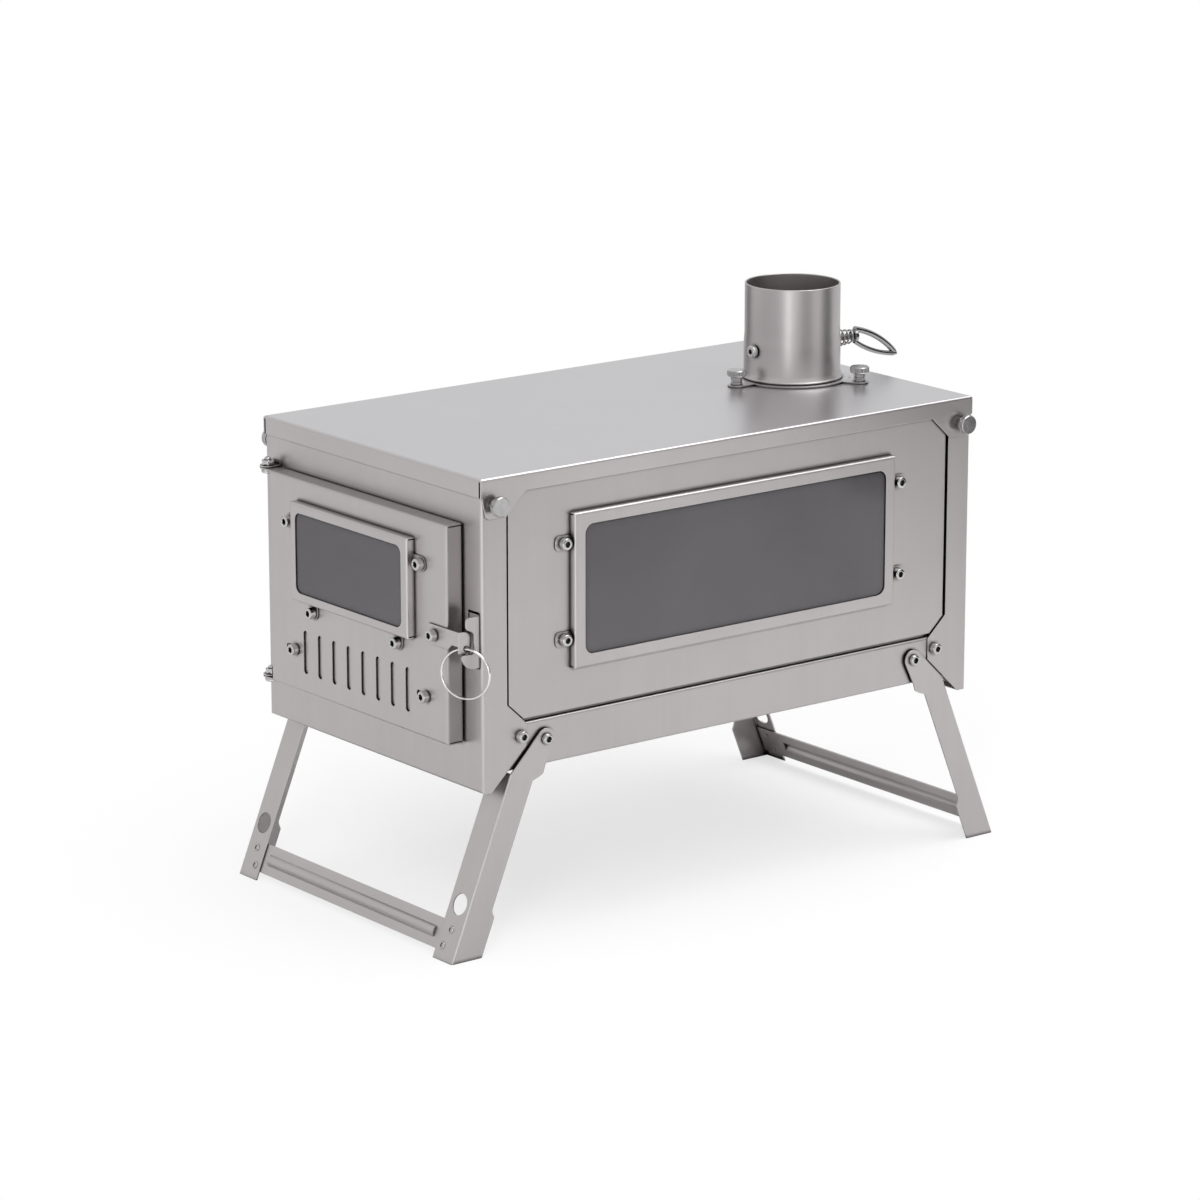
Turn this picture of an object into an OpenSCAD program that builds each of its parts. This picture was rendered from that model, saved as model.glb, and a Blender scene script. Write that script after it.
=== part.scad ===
// Folding sheet-metal wood stove for tents, with glazed door, side window,
// sliding air plate, lift latch, flue collar with damper, and two folding leg frames.
// X is across the stove, -Y is the door end, +Z is up. The stove stands on z = 0.

/* [Body] */
// Height of the top face above the ground
stand_h = 286.5; // [270:0.5:330]
// Outer width across the end caps
body_w = 220; // [200:1:260]
// Outer length across the end caps
body_l = 376.2; // [372:0.2:460]
// Depth of the body, top face to cap bottom
body_h = 187.9; // [186:0.1:194]
// Thickness of the sheet metal
sheet = 0.8; // [0.6:0.1:1]
// Outer radius of the sheet's bends
bend_r = 1.8; // [1.4:0.1:3]
// Lap of the end caps along the sides
cap_lap = 17.8; // [16:0.1:22]
// Height of the cap's bottom above its own edge, where the tray sits
tray_lift = 10.4; // [9:0.1:12]
// Height of the tray's side walls
tray_h = 28; // [26:0.5:30]
// Slit between the side panels and the edges of the caps
panel_slit = 1.8; // [1.2:0.1:2.4]

/* [Top plate] */
// Drop of the top plate's end flanges
lid_end_drop = 11.4; // [10:0.1:14]
// Drop of the top plate's side flanges
lid_side_drop = 10.6; // [9:0.1:11.4]
// Drop of the corner tabs
tab_drop = 24.2; // [23:0.1:28]
// Length of the corner tabs along the side
tab_l = 32.6; // [30:0.1:40]
// Distance of the thumb screws below the top face
thumb_drop = 16; // [14:0.5:18]
// Distance of the thumb screws from the end of the body
thumb_inset = 8.4; // [7.6:0.1:10]

/* [Door] */
// Distance of the door's left edge from the side of the body
door_left_in = 20; // [19:0.5:24]
// Distance of the door's right edge from the side of the body
door_right_in = 18; // [17:0.5:22]
// Height of the door
door_h = 131.4; // [126:0.1:134]
// Distance of the door's top below the top face
door_drop = 28.9; // [28:0.1:34]
// Depth of the door's folded edge
door_d = 10.8; // [10:0.1:14]
// Gap between the door's edge and the front cap
door_gap = 1.2; // [0.3:0.1:2]
// Margin of the fire opening inside the door's edge
mouth_margin = 7; // [5:0.5:10]

/* [Door window] */
// Distance of the window's frame from the door's sides
pane_in = 31.1; // [29:0.1:36]
// Height of the door window's frame
pane_h = 60.7; // [54:0.1:64]
// Distance of the window's frame below the top face
pane_drop = 41.5; // [38:0.1:46]
// Depth of the window's frame
pane_d = 6; // [5.6:0.1:8]
// Width of the frame's border
pane_rim = 5.6; // [5:0.1:8]
// Corner radius of the window opening
pane_r = 5; // [3:0.5:8]
// Thickness of the glass
glass_t = 3; // [2:0.1:3.4]

/* [Air slots] */
// Number of air slots
slot_n = 8; // [6:2:8]
// Distance from slot to slot
slot_pitch = 15.05; // [14:0.05:15.5]
// Width of each slot
slot_w = 4.6; // [4:0.1:6]
// Height of each slot
slot_h = 26.9; // [20:0.1:28]
// Distance of the slots' middle below the top face
slot_drop = 134.8; // [134:0.1:138]
// Distance of the slide slots from the door's sides
slide_in = 23.7; // [20:0.1:24.6]

/* [Side window] */
// Distance of the side window's frame from each end of the body
win_in = 64.35; // [56:0.05:90]
// Height of the side window's frame
win_h = 93.8; // [80:0.1:98]
// Distance of the frame's top below the top face
win_drop = 28.5; // [27:0.1:34]
// Depth of the side window's frame
win_d = 5; // [4.8:0.1:7]
// Width of the frame's border
win_rim = 7.7; // [7:0.1:12]
// Corner radius of the side window opening
win_r = 6; // [3:0.5:10]

/* [Legs] */
// Distance of the leg pivots from each end of the body
pivot_in = 45.1; // [42:0.1:45.6]
// Distance of the leg pivots below the top face
pivot_drop = 161.4; // [160:0.1:162]
// Slant of the legs
leg_tilt = 22.2; // [18:0.1:26]
// Thickness of the leg sheet
leg_t = 1; // [0.8:0.1:1.2]
// Width of the leg outside its pivot line
leg_side_w = 17.4; // [17.2:0.1:17.6]
// Width of the leg's front flange
leg_flange_w = 19; // [16:0.5:24]
// Length from the pivot to the start of the front flange
leg_flange_u = 25.5; // [24:0.5:28]
// Width of the foot inside the pivot line
foot_w = 2.8; // [1:0.1:5]
// Length of the widened foot
foot_l = 33; // [28:0.5:40]
// Length from the foot's tip to the bar's middle
bar_from_tip = 14.7; // [13:0.1:20]
// Height of the cross bar
bar_h = 18.3; // [16:0.1:22]
// Diameter of the lightening hole in each leg
leg_hole_d = 13; // [8:0.5:14]

/* [Flue] */
// Outer diameter of the flue collar
flue_d = 60; // [50:0.5:70]
// Step below the pipe's seat on the collar
collar_step = 0.4; // [0.3:0.1:0.6]
// Height of the flue collar above the top face
flue_h = 61; // [50:1:80]
// Wall of the flue collar
flue_wall = 1; // [0.8:0.1:1.5]
// Distance of the flue's middle from the rear end of the body
flue_in = 51.8; // [51:0.1:80]
// Height of the damper's shaft above the top face
shaft_h = 20.5; // [19:0.5:26]
// Diameter of the damper's shaft
shaft_d = 4; // [3.6:0.1:5]
// Gap between the damper disc and the collar's bore
disc_gap = 1; // [0.6:0.1:2]
// Distance of the flange's ear screws from the flue's middle
ear_r = 45; // [43:0.5:48]

/* [Damper handle] */
// Curls of the spring
spring_turns = 4.5; // [3.5:0.5:6]
// Wire diameter of the spring
spring_wire = 1.2; // [0.8:0.1:1.4]
// Diameter of the spring at the collar
spring_big_d = 12.4; // [11:0.1:14]
// Diameter of the spring at the handle
spring_small_d = 9; // [8:0.1:10]
// Length of the spring
spring_l = 19.2; // [17:0.1:24]
// Length of the handle's loop
loop_l = 36.5; // [30:0.5:44]
// Drop of the loop's tip below its root
loop_drop = 16; // [10:0.5:18]
// Diameter of the handle's upper wire
loop_wire = 3.4; // [2.4:0.1:3.8]

/* [Latch] */
// Height of the latch lever
latch_h = 12; // [11:0.1:12.4]
// Height by which the lever's lower edge is raised over the ring
ring_rise = 3.4; // [2.6:0.1:4.4]
// Distance of the latch lever's top below the top face
latch_drop = 89.6; // [88:0.1:92]
// Outer diameter of the pull ring
ring_d = 31; // [26:0.5:34]
// Wire diameter of the pull ring
ring_wire = 1.2; // [1:0.1:1.4]
// Turn of the ring's plane from the front of the stove
ring_turn = 32; // [26:1:34]

/* [Fasteners] */
// Diameter of the bolts
bolt_d = 4; // [3.6:0.1:4.2]
// Diameter of the socket screws' heads
head_d = 7; // [6.6:0.1:7.4]
// Height of the socket screws' heads
head_h = 4.4; // [3:0.1:4.4]
// Diameter of the thumb screws' heads
thumb_d = 12; // [10:0.5:13]
// Height of the thumb screws' heads
thumb_h = 4; // [3:0.5:5]
// Diameter of the thumb screws' necks
thumb_neck_d = 7.4; // [6:0.1:8]
// Width of the nuts across the flats
nut_af = 7; // [6.6:0.1:7.2]
// Height of the nuts
nut_h = 3.2; // [2.4:0.1:3.2]

/* [Fits] */
// Radial clearance of a pivot in its hole
run_fit = 0.08; // [0.04:0.01:0.1]
// Radial clearance of a bolt in its hole
bolt_fit = 0.15; // [0.05:0.05:0.3]
// Free gap between pieces that move past each other
move_gap = 0.2; // [0.2:0.05:0.25]
// Gap between a glass pane and the bend of its frame
pane_gap = 0.3; // [0.2:0.1:0.6]

/* [Hidden] */
$fn = 48;
eps = 0.01;
through = 20;

half_w = body_w / 2;
half_l = body_l / 2;
pivot_y = half_l - pivot_in;
flue_y = half_l - flue_in;
win_l = body_l - 2 * win_in;
cap_bottom = stand_h - body_h;
tray_bottom = cap_bottom + tray_lift;
tray_top = tray_bottom + tray_h;
tray_half_w = half_w - sheet;
// inside radius of a bend, and the caps' top just below the top plate's own bend
inner_r = bend_r - sheet;
cap_top = stand_h - bend_r;
panel_face = tray_half_w;
function down(d) = stand_h - d;

// end caps: lap outline of the side flange, measured from the end face
gusset_drop = 137;
gusset_reach = 32;
gusset_mid_drop = 150;
gusset_low_drop = 163.6;
gusset_screw_in = 27.1;
gusset_screw_drop = 157;
lip = 6.4;
// side panel: height of its face above the tray, and depth of its folded edges
panel_gap = 2.3;
fold_in = 3.2;
// tray: width of the flange turned in along its walls, and height of the piece that carries it
tray_flange = 2;
rim_h = 4;
// slit between the flanges at a folded corner
corner_slit = 0.7;

// door
door_front = -(half_l + door_gap + door_d);
door_left = door_left_in - half_w;
door_right = half_w - door_right_in;
door_w = door_right - door_left;
door_x = (door_left + door_right) / 2;
door_bottom = down(door_drop + door_h);
ear_half = 5;
pin_x = door_left - ear_half - 3.5;
pin_y = -(half_l + door_gap + door_d / 2 - 0.25);
pane_w = door_w - 2 * pane_in;
pane_x = door_x - 0.2;
pane_front = door_front - pane_d;
frame_bend_r = bend_r - 0.2;
pane_room = frame_bend_r + pane_gap;
// screws of the door window, from the middle of the frame's top edge
pane_tab = 7.4;
pane_tab_drop = 14.3;
pane_low_tab = 5.8;
pane_low_in = 16.3;
pane_screws = [
    [-pane_w / 2 - pane_tab, -pane_tab_drop], [pane_w / 2 + pane_tab, -pane_tab_drop],
    [-pane_w / 2 + pane_low_in, -pane_h - pane_low_tab],
    [pane_w / 2 - pane_low_in, -pane_h - pane_low_tab]
];
slide_x = door_w / 2 - slide_in;

// air plate
slide_rest = slot_pitch / 2 - 3.2;
air_gap = 0.3;
air_back = door_front + sheet + air_gap;

// latch and keeper
latch_screw_x = door_right - 10.8;
latch_leg_x = door_right + 13;
latch_face = door_front - move_gap - sheet;
latch_mid = down(latch_drop + latch_h / 2);
ring_hole_y = -(half_l + 7.9);
ring_hole_z = down(latch_drop + latch_h - 1.9);
ring_hole_r = 1.8;
ring_off = 0.3;
ring_mean_r = ring_d / 2 - ring_wire / 2;
leg_round_r = 5.8;
hook_x = half_w - bend_r - 0.4;
hook_t = 1.2;
hook_top = down(latch_drop - 8.6);
throat_top = down(latch_drop - 1.5);
notch_z = down(latch_drop + latch_h + 1.4);
hook_bottom = notch_z - 8.8;
hook_reach = 9.6;
throat_reach = 3.8;
nose_reach = 12.7;

// side window
win_face = panel_face + win_d;
win_tab = 5.3;
win_screw_drops = [win_drop + 17.8, win_drop + win_h - 18.2];
win_screw_y = win_l / 2 + win_tab;

// legs
pivot_z = down(pivot_drop);
leg_out = half_w + 2 * sheet;
leg_in = leg_out - leg_t;
pivot_r = 6.3;
foot_u = pivot_z / cos(leg_tilt);
leg_tip_u = foot_u + leg_side_w * tan(leg_tilt);
bar_u = leg_tip_u - bar_from_tip;
leg_hole_up = 34.9;
bar_bead_h = 8;
bar_bead_rise = 2;

// flue
collar_r = flue_d / 2;
collar_in = collar_r - flue_wall;
collar_low_r = collar_r + collar_step;
flange_t = 1.2;
lip_r = collar_low_r + 1.6;
shaft_z = stand_h + shaft_h;
ear_angles = [-90, 30, 150];
disc_t = 1;
disc_r = collar_in - disc_gap;
shaft_front = flue_y - collar_low_r - move_gap - 0.4;
boss_t = 2;
spring_start = flue_y + collar_low_r + 0.3;
boss_y = spring_start + spring_l;
loop_lower_wire = 2;
handle_reach = boss_y + loop_l + 1.5;
foot_reach = pivot_y + leg_tip_u * sin(leg_tilt) + leg_side_w * cos(leg_tilt);
mid_y = (handle_reach - foot_reach) / 2;

titanium = [0.71, 0.69, 0.69];
titanium_top = [0.77, 0.77, 0.79];
titanium_dark = [0.52, 0.49, 0.49];
steel = [0.86, 0.86, 0.88];
black_steel = [0.2, 0.2, 0.21];
rope_grey = [0.55, 0.54, 0.52];
smoked = [0.39, 0.38, 0.39, 0.8];

// ---- shared shapes ----

module centred() {
    translate([0, -mid_y, 0]) children();
}

// Turn a shape built along +Z to point along -Y, +X or -X.
module to_front() {
    rotate([90, 0, 0]) children();
}
module to_side(s) {
    rotate([0, 90 * s, 0]) children();
}

module round_rect(w, h, r) {
    square([w - 2 * r, h], center = true);
    square([w, h - 2 * r], center = true);
    for (sx = [-1, 1], sy = [-1, 1]) {
        translate([sx * (w / 2 - r), sy * (h / 2 - r)]) circle(r);
    }
}

// Profile with its two corners at y = -d rounded; x centred, y from -d to 0.
module folded_profile(w, d, r) {
    translate([-w / 2 + r, -d]) square([w - 2 * r, d]);
    translate([-w / 2, -d + r]) square([w, d - r]);
    for (s = [-1, 1]) {
        translate([s * (w / 2 - r), -d + r]) circle(r);
    }
}

module pan_solid(w, h, d, r) {
    intersection() {
        translate([0, 0, -h / 2]) linear_extrude(h) folded_profile(w, d, r);
        translate([w / 2, 0, 0]) rotate([0, -90, 0]) linear_extrude(w) folded_profile(h, d, r);
    }
}

// Sheet-metal pan: face at y = -d, four folded edges running back to y = 0,
// x and z centred.
module pan(w, h, d, t, r) {
    difference() {
        pan_solid(w, h, d, r);
        translate([0, eps, 0]) pan_solid(w - 2 * t, h - 2 * t, d - t + eps, r - t);
    }
}

// Slits between the flanges at a pan's four corners.
module corner_slits(w, h, d, t, r) {
    for (sx = [-1, 1], sz = [-1, 1]) {
        translate([sx * (w / 2 - t / 2), (r - d) / 2, sz * (h / 2 - t - corner_slit / 2)])
            cube([2 * t, d - r, corner_slit], center = true);
    }
}

// Socket-head screw: head above z = 0, shank below.
module socket_screw(shank) {
    edge = 0.5;
    difference() {
        rotate_extrude() polygon([
            [0, 0], [head_d / 2, 0], [head_d / 2, head_h - edge],
            [head_d / 2 - edge, head_h], [0, head_h]
        ]);
        translate([0, 0, head_h * 0.45]) cylinder(h = head_h, d = head_d * 0.52, $fn = 6);
    }
    translate([0, 0, -shank]) cylinder(h = shank + eps, d = bolt_d);
}

// Low button-head screw.
module button_screw(shank) {
    difference() {
        rotate_extrude() polygon([
            [0, 0], [head_d / 2, 0], [head_d / 2, 1], [head_d / 2 - 0.7, 2], [head_d / 2 - 1.5, 2.5],
            [0, 2.5]
        ]);
        translate([0, 0, 1.1]) cylinder(h = head_h, d = head_d * 0.4, $fn = 6);
    }
    translate([0, 0, -shank]) cylinder(h = shank + eps, d = bolt_d);
}

// Stepped thumb screw standing on z = 0, with its shank below.
module thumb_screw(shank, neck_h) {
    edge = 0.5;
    rotate_extrude() polygon([
        [0, 0], [thumb_neck_d / 2, 0], [thumb_neck_d / 2, neck_h], [thumb_d / 2 - edge, neck_h],
        [thumb_d / 2, neck_h + edge], [thumb_d / 2, neck_h + thumb_h - edge],
        [thumb_d / 2 - edge, neck_h + thumb_h], [0, neck_h + thumb_h]
    ]);
    translate([0, 0, -shank]) cylinder(h = shank + eps, d = bolt_d);
}

// Hexagon nut hanging below z = 0.
module nut() {
    translate([0, 0, -nut_h]) difference() {
        cylinder(h = nut_h, d = nut_af / cos(30), $fn = 6);
        translate([0, 0, -eps]) cylinder(h = nut_h + 2 * eps, r = bolt_d / 2 + 0.02);
    }
}

module bolt_hole() {
    cylinder(h = through, r = bolt_d / 2 + bolt_fit, center = true);
}
module pivot_hole() {
    cylinder(h = through, r = bolt_d / 2 + run_fit, center = true);
}

// ---- end caps, side panels, tray ----

// Side view of an end cap's wrap; y runs back from the end face, z is absolute.
module cap_wrap_outline() {
    polygon([
        [-1, stand_h], [cap_lap, stand_h], [cap_lap, down(gusset_drop)],
        [gusset_reach - 0.2, down(gusset_mid_drop)], [gusset_reach, down(gusset_mid_drop + 1)],
        [gusset_reach, down(gusset_low_drop)], [lip, cap_bottom], [-1, cap_bottom - 1]
    ]);
}

// End cap built at the front; the rear one is its mirror image.
module end_cap() {
    cap_h = cap_top - cap_bottom;
    intersection() {
        translate([0, -half_l + gusset_reach + 1, cap_bottom + cap_h / 2])
            pan(body_w, cap_h, gusset_reach + 1, sheet, bend_r);
        translate([-half_w - 1, -half_l, 0]) rotate([90, 0, 90])
            linear_extrude(body_w + 2) cap_wrap_outline();
    }
}

// Holes through both laps of an end cap: thumb screws above, gusset screws below.
module lap_holes() {
    translate([0, -half_l + thumb_inset, down(thumb_drop)]) rotate([0, 90, 0])
        cylinder(h = body_w + 4, r = bolt_d / 2 + bolt_fit, center = true);
    translate([0, -half_l + gusset_screw_in, down(gusset_screw_drop)]) rotate([0, 90, 0])
        cylinder(h = body_w + 4, r = bolt_d / 2 + bolt_fit, center = true);
}

module both_ends() {
    children();
    mirror([0, 1, 0]) children();
}
module both_sides() {
    children();
    mirror([1, 0, 0]) children();
}

module front_cap() {
    mouth_w = door_w - 2 * mouth_margin;
    mouth_h = door_h - 2 * mouth_margin;
    keeper_slot_w = 11.8;
    slot_low = hook_bottom - 1.2;
    slot_high = hook_top + 1.8;
    color(titanium) centred() difference() {
        end_cap();
        lap_holes();
        translate([door_x, -half_l, down(door_drop + door_h / 2)]) rotate([90, 0, 0])
            linear_extrude(4 * sheet, center = true) round_rect(mouth_w, mouth_h, 6);
        // slot that the keeper hook comes through
        translate([hook_x + 0.3 - keeper_slot_w / 2, -half_l, (slot_high + slot_low) / 2])
            rotate([90, 0, 0]) linear_extrude(4 * sheet, center = true)
            round_rect(keeper_slot_w, slot_high - slot_low, 1.2);
    }
}

module rear_cap() {
    color(titanium) centred() mirror([0, 1, 0]) difference() {
        end_cap();
        lap_holes();
    }
}

// Side panel's face in (y, z). Its lower corners follow the caps' gussets.
corner_k = (gusset_mid_drop - gusset_drop) / (gusset_reach - cap_lap);
function corner_lift(grow) = (panel_slit / 2 - grow) * sqrt(1 + corner_k * corner_k);
function corner_z(y, grow) =
    down(gusset_drop) + corner_lift(grow) + corner_k * (y - half_l + cap_lap);
function corner_y(z, grow) =
    half_l - cap_lap + (z - down(gusset_drop) - corner_lift(grow)) / corner_k;
module panel_shape(grow, low, top) {
    end_y = half_l - cap_lap - panel_slit + grow;
    polygon([
        [-corner_y(low, grow), low], [corner_y(low, grow), low],
        [end_y, corner_z(end_y, grow)], [end_y, top], [-end_y, top], [-end_y, corner_z(end_y, grow)]
    ]);
}

// Side panel on the right: face with edges folded in, and a backing that closes the slits
// round it and steps out again to meet the caps' laps.
module side_panel(windowed) {
    seam = half_l - cap_lap;
    edge = half_l - 2.1;
    panel_top = cap_top - sheet;
    panel_low = tray_top - 3;
    face_low = tray_top + panel_gap;
    step = 0.9;
    back_x = panel_face - fold_in;
    difference() {
        union() {
            translate([panel_face - sheet, 0, 0]) rotate([90, 0, 90]) linear_extrude(sheet)
                panel_shape(0, face_low, panel_top);
            translate([back_x, 0, 0]) rotate([90, 0, 90]) linear_extrude(fold_in) difference() {
                panel_shape(0, face_low, panel_top);
                panel_shape(-sheet, face_low + sheet, panel_top - sheet);
            }
            translate([back_x, 0, 0]) rotate([90, 0, 90]) linear_extrude(sheet) difference() {
                translate([-seam - step - sheet, panel_low])
                    square([2 * (seam + step + sheet), panel_top - panel_low]);
                panel_shape(-sheet, face_low + sheet, panel_top - sheet);
            }
            both_ends() translate([back_x, seam + step, tray_top])
                cube([fold_in, sheet, panel_top - tray_top]);
            both_ends() translate([tray_half_w - sheet, seam + step, tray_top])
                cube([sheet, edge - seam - step, panel_top - tray_top]);
        }
        both_ends() lap_holes();
        if (windowed) {
            translate([panel_face, 0, down(win_drop + win_h / 2)]) rotate([90, 0, 90])
                linear_extrude(4 * sheet, center = true)
                round_rect(win_l - 2 * win_rim - 7, win_h - 2 * win_rim - 7, win_r);
            side_screw_points() rotate([0, 90, 0]) bolt_hole();
        }
    }
}
module right_panel() {
    color(titanium) centred() side_panel(true);
}
module left_panel() {
    color(titanium) centred() mirror([1, 0, 0]) side_panel(false);
}

// Upper edge of the tray's walls in (x, z), turned in at the top.
module rim_profile() {
    difference() {
        mirror([0, 1]) folded_profile(2 * tray_half_w, rim_h, bend_r);
        translate([0, -eps]) mirror([0, 1])
            folded_profile(2 * (tray_half_w - sheet), rim_h - sheet + eps, inner_r);
        square([2 * (tray_half_w - tray_flange), 3 * rim_h], center = true);
    }
}

module bottom_tray() {
    tray_l = body_l - 2 * bend_r;
    rim_l = body_l - 2 * cap_lap;
    color(titanium) centred() difference() {
        union() {
            difference() {
                translate([0, 0, tray_top]) rotate([90, 0, 0])
                    pan(2 * tray_half_w, tray_l, tray_h, sheet, bend_r);
                both_sides() translate([tray_half_w - 2 * sheet, -rim_l / 2, tray_top - rim_h + eps])
                    cube([4 * sheet, rim_l, rim_h]);
            }
            translate([0, rim_l / 2, tray_top - rim_h]) rotate([90, 0, 0])
                linear_extrude(rim_l) rim_profile();
        }
        both_ends() lap_holes();
        both_ends() translate([0, -pivot_y, pivot_z]) rotate([0, 90, 0])
            cylinder(h = body_w + 4, r = bolt_d / 2 + bolt_fit, center = true);
    }
}

// ---- top plate ----

module top_plate() {
    lid_w = body_w + 2 * sheet;
    lid_l = body_l + 2 * sheet;
    slit = 1.4;
    tab_end = half_l + sheet;
    color(titanium_top) centred() difference() {
        union() {
            difference() {
                translate([0, 0, down(lid_end_drop)]) rotate([-90, 0, 0])
                    pan(lid_w, lid_l, lid_end_drop, sheet, bend_r);
                // side flanges end a little higher than the end flanges
                both_sides() translate([half_w - 1, -half_l + 1, down(lid_end_drop + 1)])
                    cube([4, body_l - 2, lid_end_drop - lid_side_drop + 1]);
            }
            both_ends() both_sides() translate([half_w, 0, 0]) rotate([90, 0, 90])
                linear_extrude(sheet) difference() {
                    polygon([
                        [-tab_end + 0.4, down(lid_side_drop - 2)],
                        [-tab_end + tab_l, down(lid_side_drop - 2)],
                        [-tab_end + tab_l, down(lid_side_drop)],
                        [-half_l + cap_lap, down(tab_drop - 0.4)],
                        [-half_l + cap_lap, down(tab_drop)],
                        [-tab_end + 5.4, down(tab_drop)],
                        [-tab_end + 3, down(tab_drop - 1.6)]
                    ]);
                    translate([-half_l + thumb_inset, down(thumb_drop)])
                        circle(r = bolt_d / 2 + bolt_fit);
                }
        }
        both_ends() both_sides() translate([half_w - slit, -half_l - 3, down(lid_end_drop + 1)])
            cube([slit, 3, lid_end_drop - sheet]);
        translate([0, flue_y, stand_h]) cylinder(h = 4, r = collar_in - 0.6, center = true);
        for (a = ear_angles) {
            translate([0, flue_y, stand_h]) rotate(a) translate([ear_r, 0, 0]) bolt_hole();
        }
    }
}

// ---- side window ----

module side_screw_points() {
    for (s = [-1, 1], d = win_screw_drops) {
        translate([panel_face, s * win_screw_y, down(d)]) children();
    }
}

module side_window_frame() {
    tab_h = 9;
    color(titanium) centred() difference() {
        union() {
            translate([panel_face, 0, down(win_drop + win_h / 2)]) rotate([0, 0, 90])
                difference() {
                    pan(win_l, win_h, win_d, sheet, frame_bend_r);
                    corner_slits(win_l, win_h, win_d, sheet, frame_bend_r);
                }
            for (s = [-1, 1], d = win_screw_drops) {
                translate([panel_face, s * win_screw_y, down(d)]) rotate([90, 0, 90])
                    linear_extrude(sheet) round_rect(2 * win_tab + 1.2, tab_h, 3);
            }
        }
        translate([win_face, 0, down(win_drop + win_h / 2)]) rotate([90, 0, 90])
            linear_extrude(4 * sheet, center = true)
            round_rect(win_l - 2 * win_rim, win_h - 2 * win_rim, win_r);
        side_screw_points() rotate([0, 90, 0]) bolt_hole();
        // glass and gasket lie inside the frame
        translate([panel_face - eps, -win_l / 2 + sheet, down(win_drop + win_h) + sheet])
            cube([win_d - sheet, win_l - 2 * sheet, win_h - 2 * sheet]);
    }
}

module side_glass() {
    glass_l = win_l - 2 * pane_room;
    glass_h = win_h - 2 * pane_room;
    color(smoked) centred()
        translate([win_face - sheet - glass_t, -glass_l / 2, down(win_drop + win_h / 2) - glass_h / 2])
        cube([glass_t, glass_l, glass_h]);
}

module side_glass_gasket() {
    glass_l = win_l - 2 * pane_room;
    glass_h = win_h - 2 * pane_room;
    color(rope_grey) centred() translate([panel_face, 0, down(win_drop + win_h / 2)])
        rotate([90, 0, 90]) linear_extrude(win_d - sheet - glass_t) difference() {
            square([glass_l, glass_h], center = true);
            round_rect(win_l - 2 * win_rim + 1, win_h - 2 * win_rim + 1, win_r);
        }
}

module side_window_screws() {
    color(steel) centred() side_screw_points() translate([sheet, 0, 0]) to_side(1)
        socket_screw(2 * sheet + nut_h + 1);
}
module side_window_nuts() {
    color(steel) centred() side_screw_points() translate([-sheet, 0, 0]) to_side(1) nut();
}

// ---- screws that hold the body together ----

module lid_thumb_screws() {
    color(steel) centred() both_ends() both_sides()
        translate([half_w + sheet, -half_l + thumb_inset, down(thumb_drop)]) to_side(1)
        thumb_screw(3 * sheet + nut_h, 4);
}
module lid_nuts() {
    color(steel) centred() both_ends() both_sides()
        translate([half_w - 2 * sheet, -half_l + thumb_inset, down(thumb_drop)]) to_side(1) nut();
}
module gusset_screws() {
    color(steel) centred() both_ends() both_sides()
        translate([half_w, -half_l + gusset_screw_in, down(gusset_screw_drop)]) to_side(1)
        socket_screw(2 * sheet + nut_h + 1);
}
module gusset_nuts() {
    color(steel) centred() both_ends() both_sides()
        translate([half_w - 2 * sheet, -half_l + gusset_screw_in, down(gusset_screw_drop)])
        to_side(1) nut();
}
module leg_pivot_screws() {
    color(steel) centred() both_ends() both_sides()
        translate([leg_out + move_gap, -pivot_y, pivot_z]) to_side(1)
        button_screw(leg_out + move_gap - tray_half_w + sheet + nut_h + 1);
}
module leg_pivot_washers() {
    color(steel) centred() both_ends() both_sides()
        translate([tray_half_w, -pivot_y, pivot_z]) to_side(1) difference() {
            cylinder(h = leg_in - move_gap - tray_half_w, r = 4.6);
            bolt_hole();
        }
}
module leg_pivot_nuts() {
    color(steel) centred() both_ends() both_sides()
        translate([tray_half_w - sheet, -pivot_y, pivot_z]) to_side(1) nut();
}

// ---- hinges and keeper on the front cap ----

// Lower face of each bracket's ear, just above the door's own ear.
ear_rise = 0.3;
bracket_foot_h = 2.6;
function ear_z(i) = i == 0 ? down(door_drop) + ear_rise : door_bottom + sheet + ear_rise;

module hinge_ear() {
    difference() {
        union() {
            cylinder(h = sheet, r = ear_half);
            translate([-ear_half, 0, 0]) cube([2 * ear_half, -half_l - pin_y, sheet]);
        }
        bolt_hole();
    }
}

module hinge_brackets() {
    color(titanium_dark) centred() for (i = [0, 1]) {
        translate([pin_x, pin_y, ear_z(i)]) hinge_ear();
        // foot welded to the cap
        translate([pin_x - ear_half, -half_l - sheet, ear_z(i)])
            cube([2 * ear_half, sheet, bracket_foot_h]);
    }
}

module hinge_bolts() {
    bolt_head_h = 2.8;
    color(steel) centred() for (i = [0, 1]) {
        head_top = (i == 0 ? down(door_drop) - sheet : door_bottom) - move_gap;
        translate([pin_x, pin_y, head_top - bolt_head_h])
            cylinder(h = bolt_head_h, d = nut_af / cos(30), $fn = 6);
        translate([pin_x, pin_y, head_top - eps])
            cylinder(h = ear_z(i) + sheet + nut_h + 1.6 - head_top, d = bolt_d);
    }
}

module hinge_nuts() {
    color(steel) centred() for (i = [0, 1]) {
        translate([pin_x, pin_y, ear_z(i) + sheet + nut_h]) nut();
    }
}

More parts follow.
